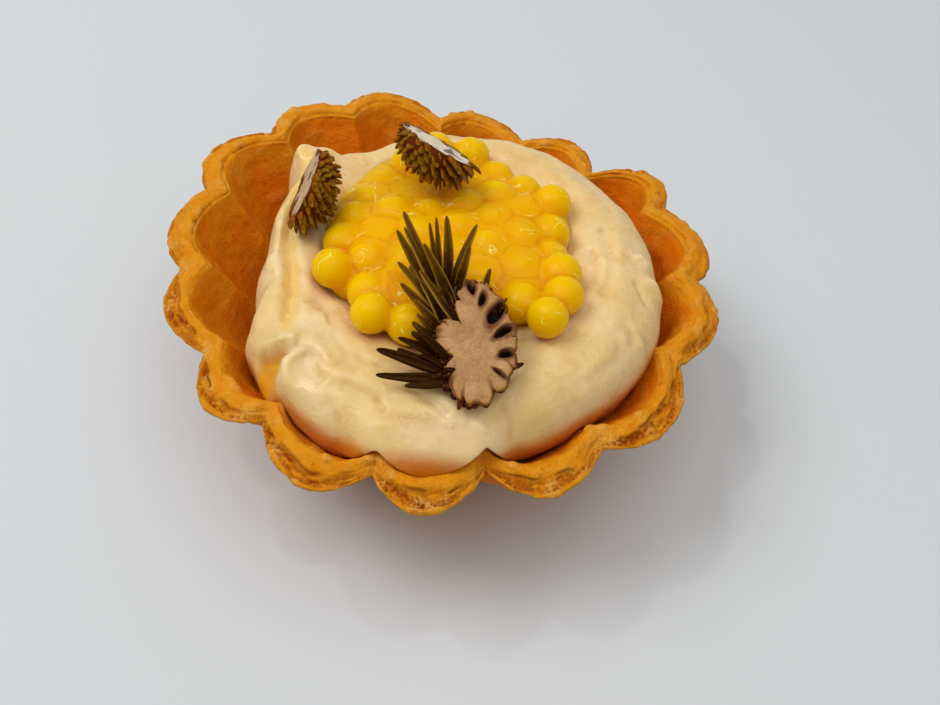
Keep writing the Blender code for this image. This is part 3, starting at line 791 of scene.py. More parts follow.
def cup_radius(columns, rise, inside):
    """Radius of the cup's outer or inner wall at a share of its height, from 0 to 1."""
    angles, ridge_at_rim, swell_at_rim, off_tip = columns
    ridge = BASE_R + (ridge_at_rim - BASE_R) * rise**FLARE_POWER
    power = INNER_SWELL_POWER if inside else SWELL_POWER
    swell = BASE_SWELL + (swell_at_rim - BASE_SWELL) * rise**power
    share = 1 - off_tip**LOBE_POWER
    if not inside:
        return ridge + swell * share
    rounded = np.hypot(share, RIDGE_ROUNDING) - RIDGE_ROUNDING
    share = rounded / (math.hypot(1, RIDGE_ROUNDING) - RIDGE_ROUNDING)
    away = smooth((np.sin(angles) + 0.8) / 0.5)
    at_pinch, at_tip = (wall[0] + (wall[1] - wall[0]) * away for wall in (WALL_AT_PINCH, WALL_AT_TIP))
    return ridge - at_pinch + (swell - (at_tip - at_pinch)) * share


def flaky_share(angles):
    """1 where the lip's layers have come apart, in front, and less at the sides and back."""
    return 0.25 + 0.75 * smooth((0.25 - np.sin(angles)) / 0.7)


def layer_edge(angles, off_tip):
    """How far over the lip, from its outer edge, the flaky lower layer reaches."""
    return 0.14 + 0.4 * (1 - off_tip**2) + layered(ring(angles, LAP_R, 0.0), LAYER_WANDER)


def lip_split(angles, off_tip, across):
    """How deep the crack between the lip's layers is at a share of the way over it."""
    strength = np.clip(0.45 + 1.3 * lumps(ring(angles, LAP_R, 0.0), 1.2, 3), 0.0, 1.0)
    crack = np.exp(-(((across - layer_edge(angles, off_tip)) / 0.05) ** 2))
    return flaky_share(angles) ** 2 * (1 - off_tip**4) * strength * crack


def lip_layer(angles, off_tip, across):
    """1 on the flaky lower layer outside the crack."""
    inside = smooth((layer_edge(angles, off_tip) - across) / 0.1) * smooth((across - 0.05) / 0.06)
    return flaky_share(angles) ** 2 * inside


def pastry_rows(columns):
    """The cup's rings from its underside over the lip to its floor, with each one's marks:
    on the lip, painted shade down in the flutes' hollows, in the split, crisp, and in the flaky layer."""
    angles, off_tip = columns[0], columns[3]
    lip = rim_height(angles)
    inner_lip = lip + RIM_LIFT
    lap = ring(angles, LAP_R, 0.0)
    foot_r = cup_radius(columns, 0.0, False) - FOOT
    rows = []

    def add(points, *marks):
        marks = (*marks, *[0.0] * (5 - len(marks)))
        rows.append((points, *[np.broadcast_to(mark, angles.shape) for mark in marks]))

    for share in (0.25, 0.5, 0.75, 1.0):
        add(ring(angles, foot_r * share, 0.0))
    for turn in (30, 60):
        out, up = math.sin(math.radians(turn)), 1 - math.cos(math.radians(turn))
        edge = cup_radius(columns, 0.06 * up, False) - FOOT * (1 - out)
        add(ring(angles, edge, 0.06 * up * lip))
    for rise in np.linspace(0.06, 0.985, WALL_RINGS):
        under_lip = (1 - rise) * lip
        layers = np.exp(-(((under_lip - 1.1 - 0.35 * lumps(lap, 3.0, 7)) / 0.16) ** 2))
        layers = layers * np.clip(0.3 + lumps(lap, 2.4, 8), 0, 1)
        near = smooth((rise - 0.8) / 0.2)
        wall = ring(angles, cup_radius(columns, rise, False), rise * lip)
        add(wall, near * 0.6, 0.0, 0.6 * layers, near, 0.4 * near)
    outer = cup_radius(columns, 1.0, False)
    inner = cup_radius(columns, 1.0, True)
    sharp = flaky_share(angles)
    turns = angles / math.tau * STREAKS_ROUND
    for across in np.linspace(0.0, 1.0, LIP_RINGS):
        corner = max(1 - across / 0.14, 0) ** 2 + 0.7 * max((across - 0.88) / 0.12, 0) ** 2
        spot = np.stack([turns, np.full_like(turns, 9 * across), np.zeros_like(turns)], axis=-1)
        streak = lumps(spot, 1.0, 27)
        layer = lip_layer(angles, off_tip, across)
        roll = LIP_ROLL * math.sin(math.pi * min(max((across - 0.4) / 0.6, 0), 1))
        worn = LIP_WEAR * (1 - sharp) * (2 * across - 1) ** 2
        height = lip + RIM_LIFT * across - LIP_CORNER * corner + roll - worn
        height = height - (LAYER_STEP + 0.12 * streak) * layer + 0.05 * streak
        band = ring(angles, outer + (inner - outer) * across, height)
        flaky = layer * np.clip(0.6 + 0.7 * streak, 0, 1)
        add(band, 1.0, 0.0, lip_split(angles, off_tip, across), 1.0, flaky)
    for rise in np.linspace(0.975, 0.5, INNER_RINGS):
        height = FLOOR_Z + rise * (inner_lip - FLOOR_Z)
        on_lip = smooth((rise - 0.92) / 0.08)
        # Painted shade: deeper down in the flutes and away from their ridges, and stronger on the right
        # side.
        hollow = smooth((0.98 - rise) / 0.2) * (1 - 0.85 * off_tip**3)
        hollow = hollow * (0.3 + 0.7 * smooth((np.cos(angles) + 0.4) / 0.9))
        wall = ring(angles, cup_radius(columns, height / inner_lip, True), height)
        add(wall, on_lip, hollow, 0.0, 0.3 + 0.7 * on_lip, 0.0)
    for rise in (0.4, 0.25, 0.12):
        height = FLOOR_Z + rise * (inner_lip - FLOOR_Z)
        add(ring(angles, cup_radius(columns, height / inner_lip, True), height))
    for share in (0.94, 0.6, 0.3):
        add(ring(angles, cup_radius(columns, FLOOR_Z / RIM_Z, True) * share, FLOOR_Z))
    return [np.array(part) for part in zip(*rows)]


def pastry_crumbs():
    """Torn crumbs under the lip's edge, as points, faces and marks."""
    rng = np.random.default_rng(21)
    parts = []
    for k in range(CRUMB_COUNT):
        angle = math.radians(CRUMB_ANGLE + rng.normal(0, 2.2))
        out, height = rng.uniform(*CRUMB_REACH), RIM_Z - rng.uniform(0.0, CRUMB_DROP)
        centre = (out * math.cos(angle), out * math.sin(angle), height)
        points, faces = bead(centre, rng.uniform(*CRUMB_R), k, 0.5, 2)
        none = np.zeros(len(points))
        marks = {"lip": none + 1, "hollow": none, "split": none, "blister": none + 0.6, "layer": none}
        parts.append((points, faces, marks))
    return parts


def make_pastry():
    """The cup with its small relief, and the crumbs."""
    columns = flute_columns(PASTRY_COLUMNS)
    grid, on_lip, hollow, split, crisp, layer = pastry_rows(columns)
    blister = crisp * np.clip(lumps(grid, 1.1, 9) - 0.14, 0, 1) * 2.0
    folded = on_lip * smooth((columns[3] - 0.8) / 0.2) * (0.5 + 0.5 * lumps(grid, 0.8, 24))
    ragged = on_lip * lumps(grid, 0.9, 10) + 1.6 * layer * lumps(grid, 0.6, 25)
    lift = layered(grid, CRUST_RELIEF) + crisp * layered(grid, LIP_RELIEF) - 0.1
    lift = lift + 0.2 * blister + 0.15 * folded + 0.11 * ragged - SPLIT_DEPTH * split
    lift[grid[..., 2] < 0.3] = 0.0
    grid = grid + outward(grid) * lift[..., None]
    points, faces = closed_skin(grid)
    marks = {
        "lip": on_lip,
        "hollow": hollow,
        "split": np.clip(1.3 * split, 0, 1),
        "blister": np.maximum(blister, 0.6 * folded),
        "layer": layer,
    }
    cup = (points, faces, {name: closed_mark(values) for name, values in marks.items()})
    return mesh_piece("pastry_cup", merged([cup, *pastry_crumbs()]), crust_finish())


# The cream.
def line_distance(x, y, line):
    """Distance from a point to a line through several points, and the share of it passed."""
    best = np.full(np.shape(x), 1e9)
    passed = np.zeros(np.shape(x))
    for k in range(len(line) - 1):
        (ax, ay), (bx, by) = line[k], line[k + 1]
        dx, dy = bx - ax, by - ay
        t = np.clip(((x - ax) * dx + (y - ay) * dy) / (dx * dx + dy * dy), 0, 1)
        gap = np.hypot(x - ax - t * dx, y - ay - t * dy)
        passed = np.where(gap < best, (k + t) / (len(line) - 1), passed)
        best = np.minimum(best, gap)
    return best, passed


def pocket_share(x, y):
    """1 in the middle of the fold's open end, and 0 away from it and over its ledge."""
    ledge_x, ledge_y, slope = LEDGE
    under = smooth((ledge_y + slope * (x - ledge_x) - y) / 0.6)
    return under * np.exp(-((line_distance(x, y, POCKET)[0] / POCKET_R) ** 4))


def fold_depth(x, y):
    """How far the folds sink the cream's top."""
    depth = np.zeros(np.shape(x))
    for width, deep, line in FOLDS:
        gap, passed = line_distance(x, y, line)
        shape = np.exp(-((gap / width) ** 2)) if deep > 0 else np.exp(-np.hypot(gap / width, 0.3) + 0.3)
        depth = depth + deep * shape * smooth(5 * passed + 0.3) * smooth(5 * (1 - passed) + 0.3)
    return depth + POCKET_DEPTH * pocket_share(x, y)


def scattered_creases():
    """Small creases that the spoon left all over the cream, in the form of NICKS."""
    rng = np.random.default_rng(61)
    creases = []
    for _ in range(CREASE_COUNT):
        turn, reach = rng.uniform(3.3, 6.2), rng.uniform(15.5, 22.0)
        span, bow = rng.uniform(0.03, 0.09), rng.normal(0, 0.5)
        spots = ((turn - span, 0.0), (turn, bow), (turn + span, rng.normal(0, 0.5)))
        line = [((reach + out) * math.cos(a), (reach + out) * math.sin(a)) for a, out in spots]
        creases.append((rng.uniform(0.3, 0.6), rng.choice((-1, 1)) * rng.uniform(0.08, 0.2), line))
    return creases


def nick_depth(x, y):
    """How far the small nicks and creases sink the cream's top."""
    depth = np.zeros(np.shape(x))
    for width, deep, line in (*NICKS, *scattered_creases()):
        gap, _ = line_distance(x, y, line)
        depth = depth + deep * np.exp(-((gap / width) ** 2))
    return depth


def cream_height(x, y):
    """Height of the cream's top over a point."""
    angle = np.degrees(np.arctan2(y, x))
    side_r, side_z, crest_r, crest_z = (around(CREAM_SHAPE, c, angle) for c in (1, 2, 3, 4))
    r = np.hypot(x, y)
    bowl = HOLLOW_Z + (crest_z - HOLLOW_Z) * smooth((r - HOLLOW_R) / (crest_r - HOLLOW_R))
    past = np.clip((r - crest_r) / (side_r - crest_r), 0, 1)
    shoulder = side_z + (crest_z - side_z) * np.sqrt(1 - past**2)
    return np.where(r < crest_r, bowl, shoulder) - fold_depth(x, y)


def make_cream():
    """The cream, from its underside up its side and over its crest to the hollow."""
    columns = flute_columns(CREAM_COLUMNS)
    angles = columns[0]
    turn = np.degrees(angles)
    side_r, side_z, crest_r, crest_z = (around(CREAM_SHAPE, c, turn) for c in (1, 2, 3, 4))
    brim = rim_height(angles) + RIM_LIFT
    rows, top = [], []

    def held_in(radius, height):
        """The cup's wall holds the cream in, and over its lip the cream may lean out again."""
        rise = np.minimum(height / brim, 1.0)
        wall = cup_radius(columns, rise, True) + CREAM_BITE
        return np.minimum(radius, wall + 0.8 * np.clip(height - brim, 0, None))

    rows.append(ring(angles, cup_radius(columns, FLOOR_Z / RIM_Z, True) - 1.5, FLOOR_Z + 0.1))
    top.append(np.zeros(len(angles)))
    for rise in (0.2, 0.4, 0.6, 0.8, 0.95):
        height = FLOOR_Z + rise * (side_z - FLOOR_Z)
        below = (side_z - height) / side_z
        rows.append(ring(angles, held_in(side_r - 1.5 * below, height), height))
        top.append(np.zeros(len(angles)))
    for tilt in np.linspace(4, 88, SIDE_RINGS):
        out, up = math.cos(math.radians(tilt)), math.sin(math.radians(tilt))
        height = side_z + (crest_z - side_z) * up
        radius = held_in(crest_r + (side_r - crest_r) * out, height)
        x, y = radius * np.cos(angles), radius * np.sin(angles)
        rows.append(ring(angles, radius, height - fold_depth(x, y) * up))
        top.append(np.full(len(angles), up))
    for share in np.linspace(1.0, 0.12, TOP_RINGS):
        radius = crest_r * share
        x, y = radius * np.cos(angles), radius * np.sin(angles)
        rows.append(ring(angles, radius, cream_height(x, y)))
        top.append(np.ones(len(angles)))
    grid, top = np.array(rows), np.array(top)
    x, y = grid[..., 0], grid[..., 1]
    out = np.hypot(x, y)
    swept = np.stack([x * 0.3 + 4 * np.cos(angles), y * 0.3 + 4 * np.sin(angles), out], axis=-1)
    waves = 0.24 * lumps(swept, 1.7, 14) + 0.12 * lumps(swept * (1, 1, 2), 1.5, 15)
    specks = np.clip(lumps(grid, 0.55, 16) - 0.55, 0, 1) * np.clip(lumps(grid, 3.0, 17), 0, 1)
    lift = top * (waves + layered(grid, CREAM_RELIEF) + 0.6 * specks - nick_depth(x, y))
    grid = grid + outward(grid) * lift[..., None]
    # Painted shade with reflected crust orange, low on the cream near the wall and more in front.
    front = np.exp(-(((turn - FRONT_ANGLE) / FRONT_HALF_WIDTH) ** 2))
    height = grid[..., 2]
    brim_shade = smooth((brim + SHADE_OVER_LIP + SHADE_MORE_IN_FRONT * front - height) / SHADE_FADE)
    wall = cup_radius(columns, np.clip(height / brim, 0.0, 1.0), True)
    brim_shade = brim_shade * smooth((np.hypot(grid[..., 0], grid[..., 1]) - wall + SHADE_REACH) / 1.6)
    # Painted yellow shade in the deep folds and ochre shade in the pocket.
    gaps = [line_distance(x, y, line)[0] / width for width, deep, line in FOLDS if deep > SHADED_FOLD]
    marks = {
        "fold": np.exp(-(np.min(gaps, axis=0) ** 2)) * top,
        "pocket": pocket_share(x, y) ** 2,
        "brim": brim_shade * (0.85 + 0.15 * front) * (1 - 0.8 * pocket_share(x, y)),
    }
    points, faces = closed_skin(grid)
    stored = {name: closed_mark(values) for name, values in marks.items()}
    return mesh_piece("cream_fill", (points, faces, stored), cream_finish())


# The pearls.
def heap_share(x, y):
    """How far a point lies from the heap's centre, as a share of the way to its edge."""
    return np.hypot(x, y) / around(HEAP_EDGE, 1, np.degrees(np.arctan2(y, x)))


def heap_height(x, y):
    """Height of the pearls' centres over a point of the heap."""
    height = HEAP_Z + HEAP_RISE * (1 - heap_share(x, y) ** 2)
    for dent_x, dent_y, radius, depth in DENTS:
        height = height - depth * np.exp(-((x - dent_x) ** 2 + (y - dent_y) ** 2) / radius**2)
    return height


def rest_on_cream(x, y, radius):
    """Height of the centre of a ball that lies on the cream at this spot."""
    dx, dy = (side.ravel() for side in np.meshgrid(*[np.linspace(-0.95, 0.95, 9) * radius] * 2))
    under = dx**2 + dy**2 < radius**2
    dx, dy = dx[under], dy[under]
    return float(np.max(cream_height(x + dx, y + dy) + np.sqrt(radius**2 - dx**2 - dy**2)))


def spread_out(spots, pitch, fixed=0):
    """Pushes spots apart until they fill the heap, and leaves the first ones where they are."""
    held = spots[:fixed].copy()
    for _ in range(400):
        apart = spots[:, None] - spots[None]
        gap = np.linalg.norm(apart, axis=2) + np.eye(len(spots)) * pitch
        push = np.clip(pitch / gap - 1, 0, 2)
        spots = spots + 0.2 * np.sum(push[:, :, None] * apart, axis=1)
        spots = spots / np.maximum(heap_share(spots[:, 0], spots[:, 1]), 1)[:, None]
        spots[:fixed] = held
    return spots


def scattered(rng, count, reach):
    """Spots scattered evenly over a round."""
    turns = rng.uniform(0, math.tau, count)
    out = reach * np.sqrt(rng.uniform(0, 1, count))
    return np.stack([out * np.cos(turns), out * np.sin(turns)], axis=1)


def pearl_centres():
    """Where each pearl lies: centre and radius, first the upper layer and then the one under it."""
    rng = np.random.default_rng(11)
    loose = scattered(rng, PEARL_COUNT - len(PLACED_PEARLS), 10)
    spots = spread_out(np.vstack([PLACED_PEARLS, loose]), PEARL_PITCH, len(PLACED_PEARLS))
    centres = []
    for x, y in spots:
        radius = PEARL_R * rng.uniform(0.94, 1.05)
        z = float(heap_height(x, y)) + rng.uniform(-0.4, 0.4)
        centres.append((x, y, max(z, rest_on_cream(x, y, radius)), radius))
    under = spread_out(scattered(rng, LOWER_PEARLS, 9), LOWER_PITCH)
    for x, y in under * 0.93:
        z = float(heap_height(x, y)) - LOWER_SINK + rng.uniform(-0.3, 0.5)
        centres.append((x, y, z, PEARL_R * rng.uniform(0.94, 1.02)))
    return np.array(centres)


def make_pearls():
    """Pearls and the gel between them, melted into one skin."""
    centres = pearl_centres()
    parts = []
    for k, (x, y, z, radius) in enumerate(centres):
        points, faces = bead((x, y, z), radius, 3.7 * k, 0.035, 4)
        parts.append((points, faces, {}))
    angles = np.arange(GEL_COLUMNS) * math.tau / GEL_COLUMNS
    edge = around(GEL_EDGE, 1, np.degrees(angles))
    rings = []
    for share in (0.3, 0.6, 0.8, 0.95):
        x, y = share * edge * np.cos(angles), share * edge * np.sin(angles)
        rings.append(np.stack([x, y, cream_height(x, y) - 0.2], axis=1))
    for inward, rise in GEL_PROFILE:
        x, y = (edge - inward) * np.cos(angles), (edge - inward) * np.sin(angles)
        height = heap_height(x, y) + rise
        rings.append(np.stack([x, y, np.maximum(height, cream_height(x, y) + 0.1)], axis=1))
    parts.append((*closed_skin(np.array(rings)), {}))
    points, faces, _ = merged(parts)
    mesh = bpy.data.meshes.new("pearls_joined")
    mesh.from_pydata(points.tolist(), [], faces)
    joined = bpy.data.objects.new("pearls_joined", mesh)
    bpy.context.scene.collection.objects.link(joined)
    remesh = joined.modifiers.new("one_skin", "REMESH")
    remesh.mode = "VOXEL"
    remesh.voxel_size = PEARL_VOXEL
    soften = joined.modifiers.new("soften", "SMOOTH")
    soften.factor = 0.5
    soften.iterations = 20
    made = joined.evaluated_get(bpy.context.evaluated_depsgraph_get()).to_mesh()
    points = np.array([v.co for v in made.vertices])
    faces = [tuple(face.vertices) for face in made.polygons]
    bpy.data.objects.remove(joined, do_unlink=True)
    first = np.empty(len(points))
    second = np.empty(len(points))
    for k in range(0, len(points), BATCH):
        gap = np.linalg.norm(points[k : k + BATCH, None] - centres[None, :, :3], axis=2)
        nearest = np.partition(gap, 1, axis=1)
        first[k : k + BATCH], second[k : k + BATCH] = nearest[:, 0], nearest[:, 1]
    marks = {"seam": smooth(1 - (second - first) / SEAM_WIDTH)}
    return mesh_piece("pearl_heap", (points, faces, marks), pearl_finish())


# The shoots.
def axes_of(long_axis, face_normal):
    """Local axes u, v and w of a shoot, from its long axis and the side its cut face looks to."""
    v = np.array(long_axis, float)
    v = v / np.linalg.norm(v)
    w = np.array(face_normal, float)
    w = w - v * (w @ v)
    w = w / np.linalg.norm(w)
    return np.array([np.cross(v, w), v, w])


def placed(parts, centre, axes):
    """Parts in a shoot's own axes, set where the shoot lies."""
    return [(points @ axes + np.array(centre), faces, marks) for points, faces, marks in parts]


def needle(root, tip, width, seed, bend=0.25, rows=16, sides=16, darkness=0.0):
    """A flat pointed needle with a groove along its upper face, as points, faces and marks."""
    rng = np.random.default_rng(seed)
    root, tip = np.array(root, float), np.array(tip, float)
    along = tip - root
    length = np.linalg.norm(along)
    along = along / length
    flat = np.cross(along, (0.0, 0.0, 1.0))
    flat = flat / np.linalg.norm(flat)
    thick = np.cross(flat, along)
    roll = rng.uniform(-0.5, 0.5)
    flat, thick = (
        flat * math.cos(roll) + thick * math.sin(roll),
        thick * math.cos(roll) - flat * math.sin(roll),
    )
    sway = rng.uniform(-0.7, 0.7)
    turns = np.arange(sides) * math.tau / sides
    side = np.cos(turns)
    above = np.sin(turns) > 0.01
    rise = np.sign(np.sin(turns)) * np.abs(np.sin(turns)) ** 0.8 * NEEDLE_THICKNESS
    rise = rise - above * 0.75 * NEEDLE_THICKNESS * np.exp(-((side / 0.3) ** 2))
    rings, reach = [], []
    for share in 1 - (1 - np.linspace(0.0, 1.0, rows)) ** 1.5:
        taper = 1 - 0.4 * float(smooth((share - 0.45) / 0.5))
        blunt = math.sqrt(max(1 - max((share - 0.84) / 0.16, 0) ** 2, 0.003))
        wide = width / 2 * (0.6 + 0.4 * float(smooth(share / 0.3))) * blunt * taper
        arch = bend * math.sin(math.pi * share)
        middle = root + along * length * share + thick * arch * 0.5 + flat * arch * sway
        rings.append(middle + wide * (np.outer(side, -flat) + np.outer(rise, thick)))
        reach.append(np.full(sides, share))
    grid = np.array(rings)
    points, faces = closed_skin(grid)
    margin = np.abs(side)[None] * np.ones((rows, 1))
    groove = (np.exp(-((side / 0.25) ** 2)) * above)[None] * np.ones((rows, 1))
    reach = np.array(reach) * (1 - darkness)
    marks = {"margin": margin * (1 - darkness), "groove": groove * (1 - darkness), "reach": reach}
    return points, faces, {name: closed_mark(values) for name, values in marks.items()}


def curve_through(outline, count):
    """Points of a smooth closed curve through the outline's points, evenly shared between them."""
    corners = np.array(outline, float)
    steps = np.linspace(0, len(corners), count, endpoint=False)
    k = steps.astype(int)
    t = (steps - k)[:, None]
    a, b, c, d = (corners[(k + shift) % len(corners)] for shift in (-1, 0, 1, 2))
    return b + 0.5 * t * (c - a + t * (2 * a - 5 * b + 4 * c - d + t * (3 * (b - c) + d - a)))


def pocket_marks(u, v):
    """How deep a point of the cut face lies in a seed pocket, and how near it is to one's rim."""
    deep = np.zeros(np.shape(u))
    rim = np.zeros(np.shape(u))
    for middle_u, middle_v, half_length, half_width, angle in SEED_POCKETS:
        c, s = math.cos(math.radians(angle)), math.sin(math.radians(angle))
        du, dv = u - middle_u, v - middle_v
        along, across = du * c + dv * s, dv * c - du * s
        turn = np.arctan2(across / half_width, along / half_length)
        uneven = 1 + 0.12 * np.sin(2 * turn + middle_v) + 0.1 * np.sin(3 * turn + middle_u)
        narrow = 1 + 0.3 * np.clip(along / half_length, -1, 1)
        far = np.hypot(along / half_length, across / (half_width * narrow)) / uneven
        deep = np.maximum(deep, smooth((1.08 - far) / 0.25))
        rim = np.maximum(rim, smooth((1.9 - far) / 0.8))
    return deep, rim


def stacked(edge, levels):
    """Rings of a shoot's edge, from below. Each level: width as a share of the edge's, height, 1 on
    the bark and 0 on the cut face, and how far out it lies, which come back with the rings."""
    rings = [np.column_stack([edge * share, np.full(len(edge), height)]) for share, height, *_ in levels]
    bark, far_out = (np.array([[level[k]] * len(edge) for level in levels]) for k in (2, 3))
    return np.array(rings), bark, far_out


def slice_body():
    """The front slice: its cut face with seed pockets, and its rough tapering side."""
    edge = curve_through(SLICE_OUTLINE, SLICE_EDGE_POINTS)[::-1]
    turns = np.arctan2(edge[:, 1], edge[:, 0])
    levels = [(share, -sink * SLICE_DEPTH, 1.0, 1.0) for sink, share in SLICE_SIDE]
    for share in np.append(np.linspace(0.995, 0.9, 8), np.linspace(0.88, 0.04, 44)):
        levels.append((share, -0.22 * smooth((share - 0.93) / 0.065), 0.0, share))
    grid, bark, rim_share = stacked(edge, levels)
    u, v = grid[..., 0], grid[..., 1]
    face = 1 - bark
    deep, rim = pocket_marks(u, v)
    wander = 1.6 * lumps(grid * (1, 1, 0), 2.5, 19)
    cleft = np.exp(-((np.sin(7 * turns + wander) / 0.16) ** 2)) * smooth((rim_share - 0.62) / 0.34)
    grid[..., 2] -= face * (0.8 * deep - 0.14 * rim * (1 - deep) + 0.3 * cleft)
    grid[..., 2] += face * layered(grid, PITH_RELIEF)
    frayed = 0.035 * lumps(grid * (1, 1, 0), 0.7, 26) - 0.07 * cleft
    grid[..., :2] *= (1 + frayed * smooth((rim_share - 0.8) / 0.2))[..., None]
    grid = grid + outward(grid) * (bark * layered(grid, BARK_RELIEF))[..., None]
    stain = smooth((rim_share - 0.72) / 0.2) * smooth((-u - 1.3) / 0.8)
    stain = stain * smooth(0.4 + 1.6 * lumps(grid * (1, 1, 0), 0.8, 30))
    points, faces = closed_skin(grid)
    marks = {
        "pocket": deep * face,
        "pocket_rim": np.maximum(np.maximum(rim, stain) * 0.8, 0.85 * cleft) * face,
        "edge": rim_share * face,
        "bark": bark,
        "pale": 0.0 * bark,
    }
    return points, faces, {name: closed_mark(values) for name, values in marks.items()}


def slice_flakes():
    """Torn bark flakes round the slice's lower left edge."""
    rng = np.random.default_rng(43)
    edge = curve_through(SLICE_OUTLINE, SLICE_EDGE_POINTS)[FLAKES_FROM:FLAKES_TO]
    parts = []
    for k in range(FLAKE_COUNT):
        u, v = edge[rng.integers(len(edge))]
        sink = rng.uniform(0.15, 0.9)
        root = np.array((0.88 * u, 0.88 * v, -sink))
        tip = np.array((1.06 * u, 1.06 * v, -sink)) + rng.normal(0, 0.16, 3)
        points, faces, marks = needle(root, tip, rng.uniform(0.35, 0.8), 500 + k, 0.1, 7, 8)
        none = np.zeros(len(points))
        flake = {"pocket": 0.4 * marks["reach"], "pocket_rim": none, "edge": none}
        parts.append((points, faces, {**flake, "bark": none + 1, "pale": none}))
    return parts


def front_needles():
    """The front shoot's needles, and short dark stubs between their roots."""
    parts = []
    for k, (tip_u, tip_v, tip_w, root_u, root_v, width) in enumerate(NEEDLES):
        tip = (tip_u, tip_v, tip_w)
        shade = LOW_NEEDLE_SHADE * float(smooth((4.0 - tip_v) / 5.0))
        root = (root_u, root_v, NEEDLE_ROOT_W)
        parts.append(needle(root, tip, NEEDLE_SCALE * width, 100 + k, darkness=shade))
    rng = np.random.default_rng(41)
    for k in range(STUB_COUNT):
        tip_u, tip_v, tip_w, root_u, root_v, _ = NEEDLES[k % len(NEEDLES)]
        root = np.array((root_u, root_v, NEEDLE_ROOT_W - 0.1))
        reach = np.array((tip_u, tip_v, tip_w)) - root
        root = root + rng.normal(0, 0.25, 3) * (1, 1, 0.4)
        tip = root + reach * rng.uniform(0.12, 0.34) + rng.normal(0, 0.2, 3)
        parts.append(needle(root, tip, rng.uniform(0.45, 0.8), 300 + k, 0.15, 8, 10, 0.9))
    return parts


def side_shoot_body(size, depth, seed, pale):
    """Half of a young cone: its narrow cut face, and its rough rounded back."""
    angles = np.arange(HALF_SHOOT_POINTS) * math.tau / HALF_SHOOT_POINTS
    reach = around(HALF_SHOOT_EDGE, 1, np.degrees(angles))
    edge = ring(angles, reach, 0.0)[:, :2] * size
    levels = []
    for turn in np.radians(np.linspace(10, 90, 26)):
        levels.append((math.sin(turn), -math.cos(turn) * depth, 1.0, 1.0))
    for share in np.linspace(0.985, 0.08, 26):
        levels.append((share, 0.0, 0.0, share))
    grid, bark, share_out = stacked(edge, levels)
    lift = bark * layered(grid, ((0.2, 0.9, seed), (0.1, 0.4, seed + 1)))
    lift = lift + (1 - bark) * (0.12 * lumps(grid, 1.1, seed + 2) - 0.1)
    grid = grid + outward(grid) * lift[..., None]
    points, faces = closed_skin(grid)
    dark = (1 - bark) * smooth((lumps(grid * (1, 1, 0), 1.2, seed + 3) - 0.25) / 0.3) * (share_out < 0.8)
    marks = {
        "pocket": dark * 0.6,
        "pocket_rim": dark * 0.5,
        "edge": share_out * (1 - bark),
        "bark": bark,
        "pale": pale * (1 - bark),
    }
    return points, faces, {name: closed_mark(values) for name, values in marks.items()}


def side_scales(size, depth, seed):
    """Short flat scales that stand all over a side shoot's rounded back, from its cut edge on."""
    rng = np.random.default_rng(seed)
    parts = []
    for k in range(SCALE_COUNT):
        angle = math.radians(SCALE_TURN * k)
        up = 1.0 - (k + 0.5) / SCALE_COUNT
        out = math.sqrt(1 - up**2)
        reach = float(around(HALF_SHOOT_EDGE, 1, math.degrees(angle)))
        u, v = reach * size[0] * out * math.cos(angle), reach * size[1] * out * math.sin(angle)
        root = (0.86 * u, 0.86 * v, -0.8 * depth * up)
        length = rng.uniform(0.45, 1.15)
        lean = 0.9 * out * math.sin(angle) + 0.35
        tip = (
            u + 0.3 * length * out * math.cos(angle) + rng.normal(0, 0.12),
            v + length * lean + rng.normal(0, 0.12),
            -depth * up - length * (0.45 + 0.35 * up),
        )
        parts.append(needle(root, tip, rng.uniform(0.6, 1.05), seed * 100 + k, 0.2, 9, 10))
    return parts


def make_front_shoot():
    """The front shoot's pieces: slice, needles and resin."""
    axes = axes_of(SLICE_LONG_AXIS, SLICE_FACE_NORMAL)
    body = merged(placed([slice_body(), *slice_flakes()], SLICE_CENTRE, axes))
    needles = merged(placed(front_needles(), SLICE_CENTRE, axes))
    beads = []
    for k, (u, v, w, radius) in enumerate(RESIN_BEADS):
        points, faces = bead((0, 0, 0), radius, 5.3 * k, 0.4)
        beads.append((points * (1.1, 1.0, 0.7) + (u, v, w), faces, {}))
    points, faces, _ = needle(*RESIN_SPIKE, 0.5, 90)
    beads.append((points, faces, {}))
    resin = merged(placed(beads, SLICE_CENTRE, axes))
    return [
        mesh_piece("front_slice", body, cut_finish()),
        mesh_piece("front_needles", needles, needle_finish()),
        mesh_piece("front_resin", resin, resin_finish()),
    ]


def make_side_shoot(name, shoot, seed, pale, cut, scale):
    """One of the two other shoots: its cut body and its scales."""
    centre, long_axis, face_normal, size, depth = shoot
    axes = axes_of(long_axis, face_normal)
    body = merged(placed([side_shoot_body(size, depth, seed, pale)], centre, axes))
    scales = merged(placed(side_scales(size, depth, seed), centre, axes))
    return [
        mesh_piece(name + "_body", body, cut),
        mesh_piece(name + "_scales", scales, scale),
    ]


# Table, light and camera.
def make_table():
    mesh = bpy.data.meshes.new("table")
    corners = [(x * TABLE_HALF, y * TABLE_HALF, 0) for x, y in ((-1, -1), (1, -1), (1, 1), (-1, 1))]
    mesh.from_pydata((np.array(corners) * MM).tolist(), [], [(0, 1, 2, 3)])
    mesh.materials.append(floor_finish())
    table = bpy.data.objects.new("table", mesh)
    bpy.context.scene.collection.objects.link(table)
    return table


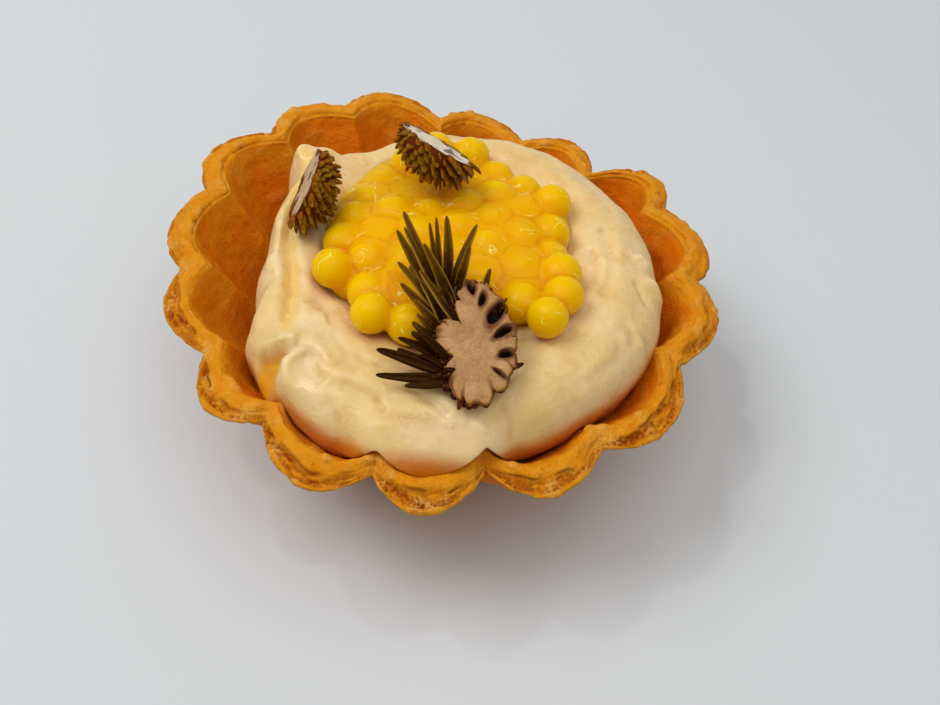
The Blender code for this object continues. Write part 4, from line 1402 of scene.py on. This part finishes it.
def add_light(name, place, size, power):
    """A soft square light that looks at the tartlet's middle."""
    light = bpy.data.lights.new(name, "AREA")
    light.size = size * MM
    light.energy = power
    obj = bpy.data.objects.new(name, light)
    toward = np.array((0, 0, RIM_Z)) - np.array(place, float)
    obj.rotation_mode = "QUATERNION"
    obj.location = np.array(place) * MM
    bpy.context.scene.collection.objects.link(obj)
    back = -toward / np.linalg.norm(toward)
    side = np.cross((0.0, 1.0, 0.0), back)
    side = side / np.linalg.norm(side)
    turned = Matrix(np.array([side, np.cross(back, side), back]).T.tolist())
    obj.rotation_quaternion = turned.to_quaternion()


def light_scene():
    """The lights, and pale walls all round."""
    world = bpy.data.worlds.new("pale_room")
    bpy.context.scene.world = world
    world.use_nodes = True
    sky = world.node_tree.nodes["Background"]
    sky.inputs["Color"].default_value = linear(ROOM_PALE)
    sky.inputs["Strength"].default_value = ROOM_LIGHT
    for name, (place, size, power) in LIGHTS.items():
        add_light(name, place, size, power)
    bpy.context.scene.view_settings.view_transform = "Standard"


def aim_camera():
    """Looks down over the front edge, rolled a little."""
    lens = bpy.data.cameras.new("camera")
    lens.sensor_width = SENSOR_WIDTH
    lens.lens = SENSOR_WIDTH * FOCAL_PX / PICTURE_WIDTH_PX
    lens.clip_start = 1 * MM
    camera = bpy.data.objects.new("camera", lens)
    bpy.context.scene.collection.objects.link(camera)
    turn = Matrix.Rotation(math.radians(-CAMERA_TURN), 4, "Z")
    pitch = Matrix.Rotation(math.radians(90 - CAMERA_PITCH), 4, "X")
    roll = Matrix.Rotation(math.radians(CAMERA_ROLL), 4, "Z")
    place = Matrix.Translation([c * MM for c in CAMERA_PLACE])
    camera.matrix_world = place @ turn @ pitch @ roll
    bpy.context.scene.camera = camera


def stand_for(pieces, node):
    """These pieces are shown instead of a node and move with the body."""
    for piece in pieces:
        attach(piece, "root")
        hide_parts(node)


cut, scale = cut_finish(), scale_finish()
stand_for([make_pastry()], "pastry")
stand_for([make_cream()], "cream")
stand_for([make_pearls()], "pearls")
stand_for(make_front_shoot(), "shoot_front")
stand_for(make_side_shoot("back_shoot", BACK_SHOOT, 50, 0.9, cut, scale), "shoot_back")
stand_for(make_side_shoot("left_shoot", LEFT_SHOOT, 60, 0.2, cut, scale), "shoot_left")
make_table()
light_scene()
aim_camera()
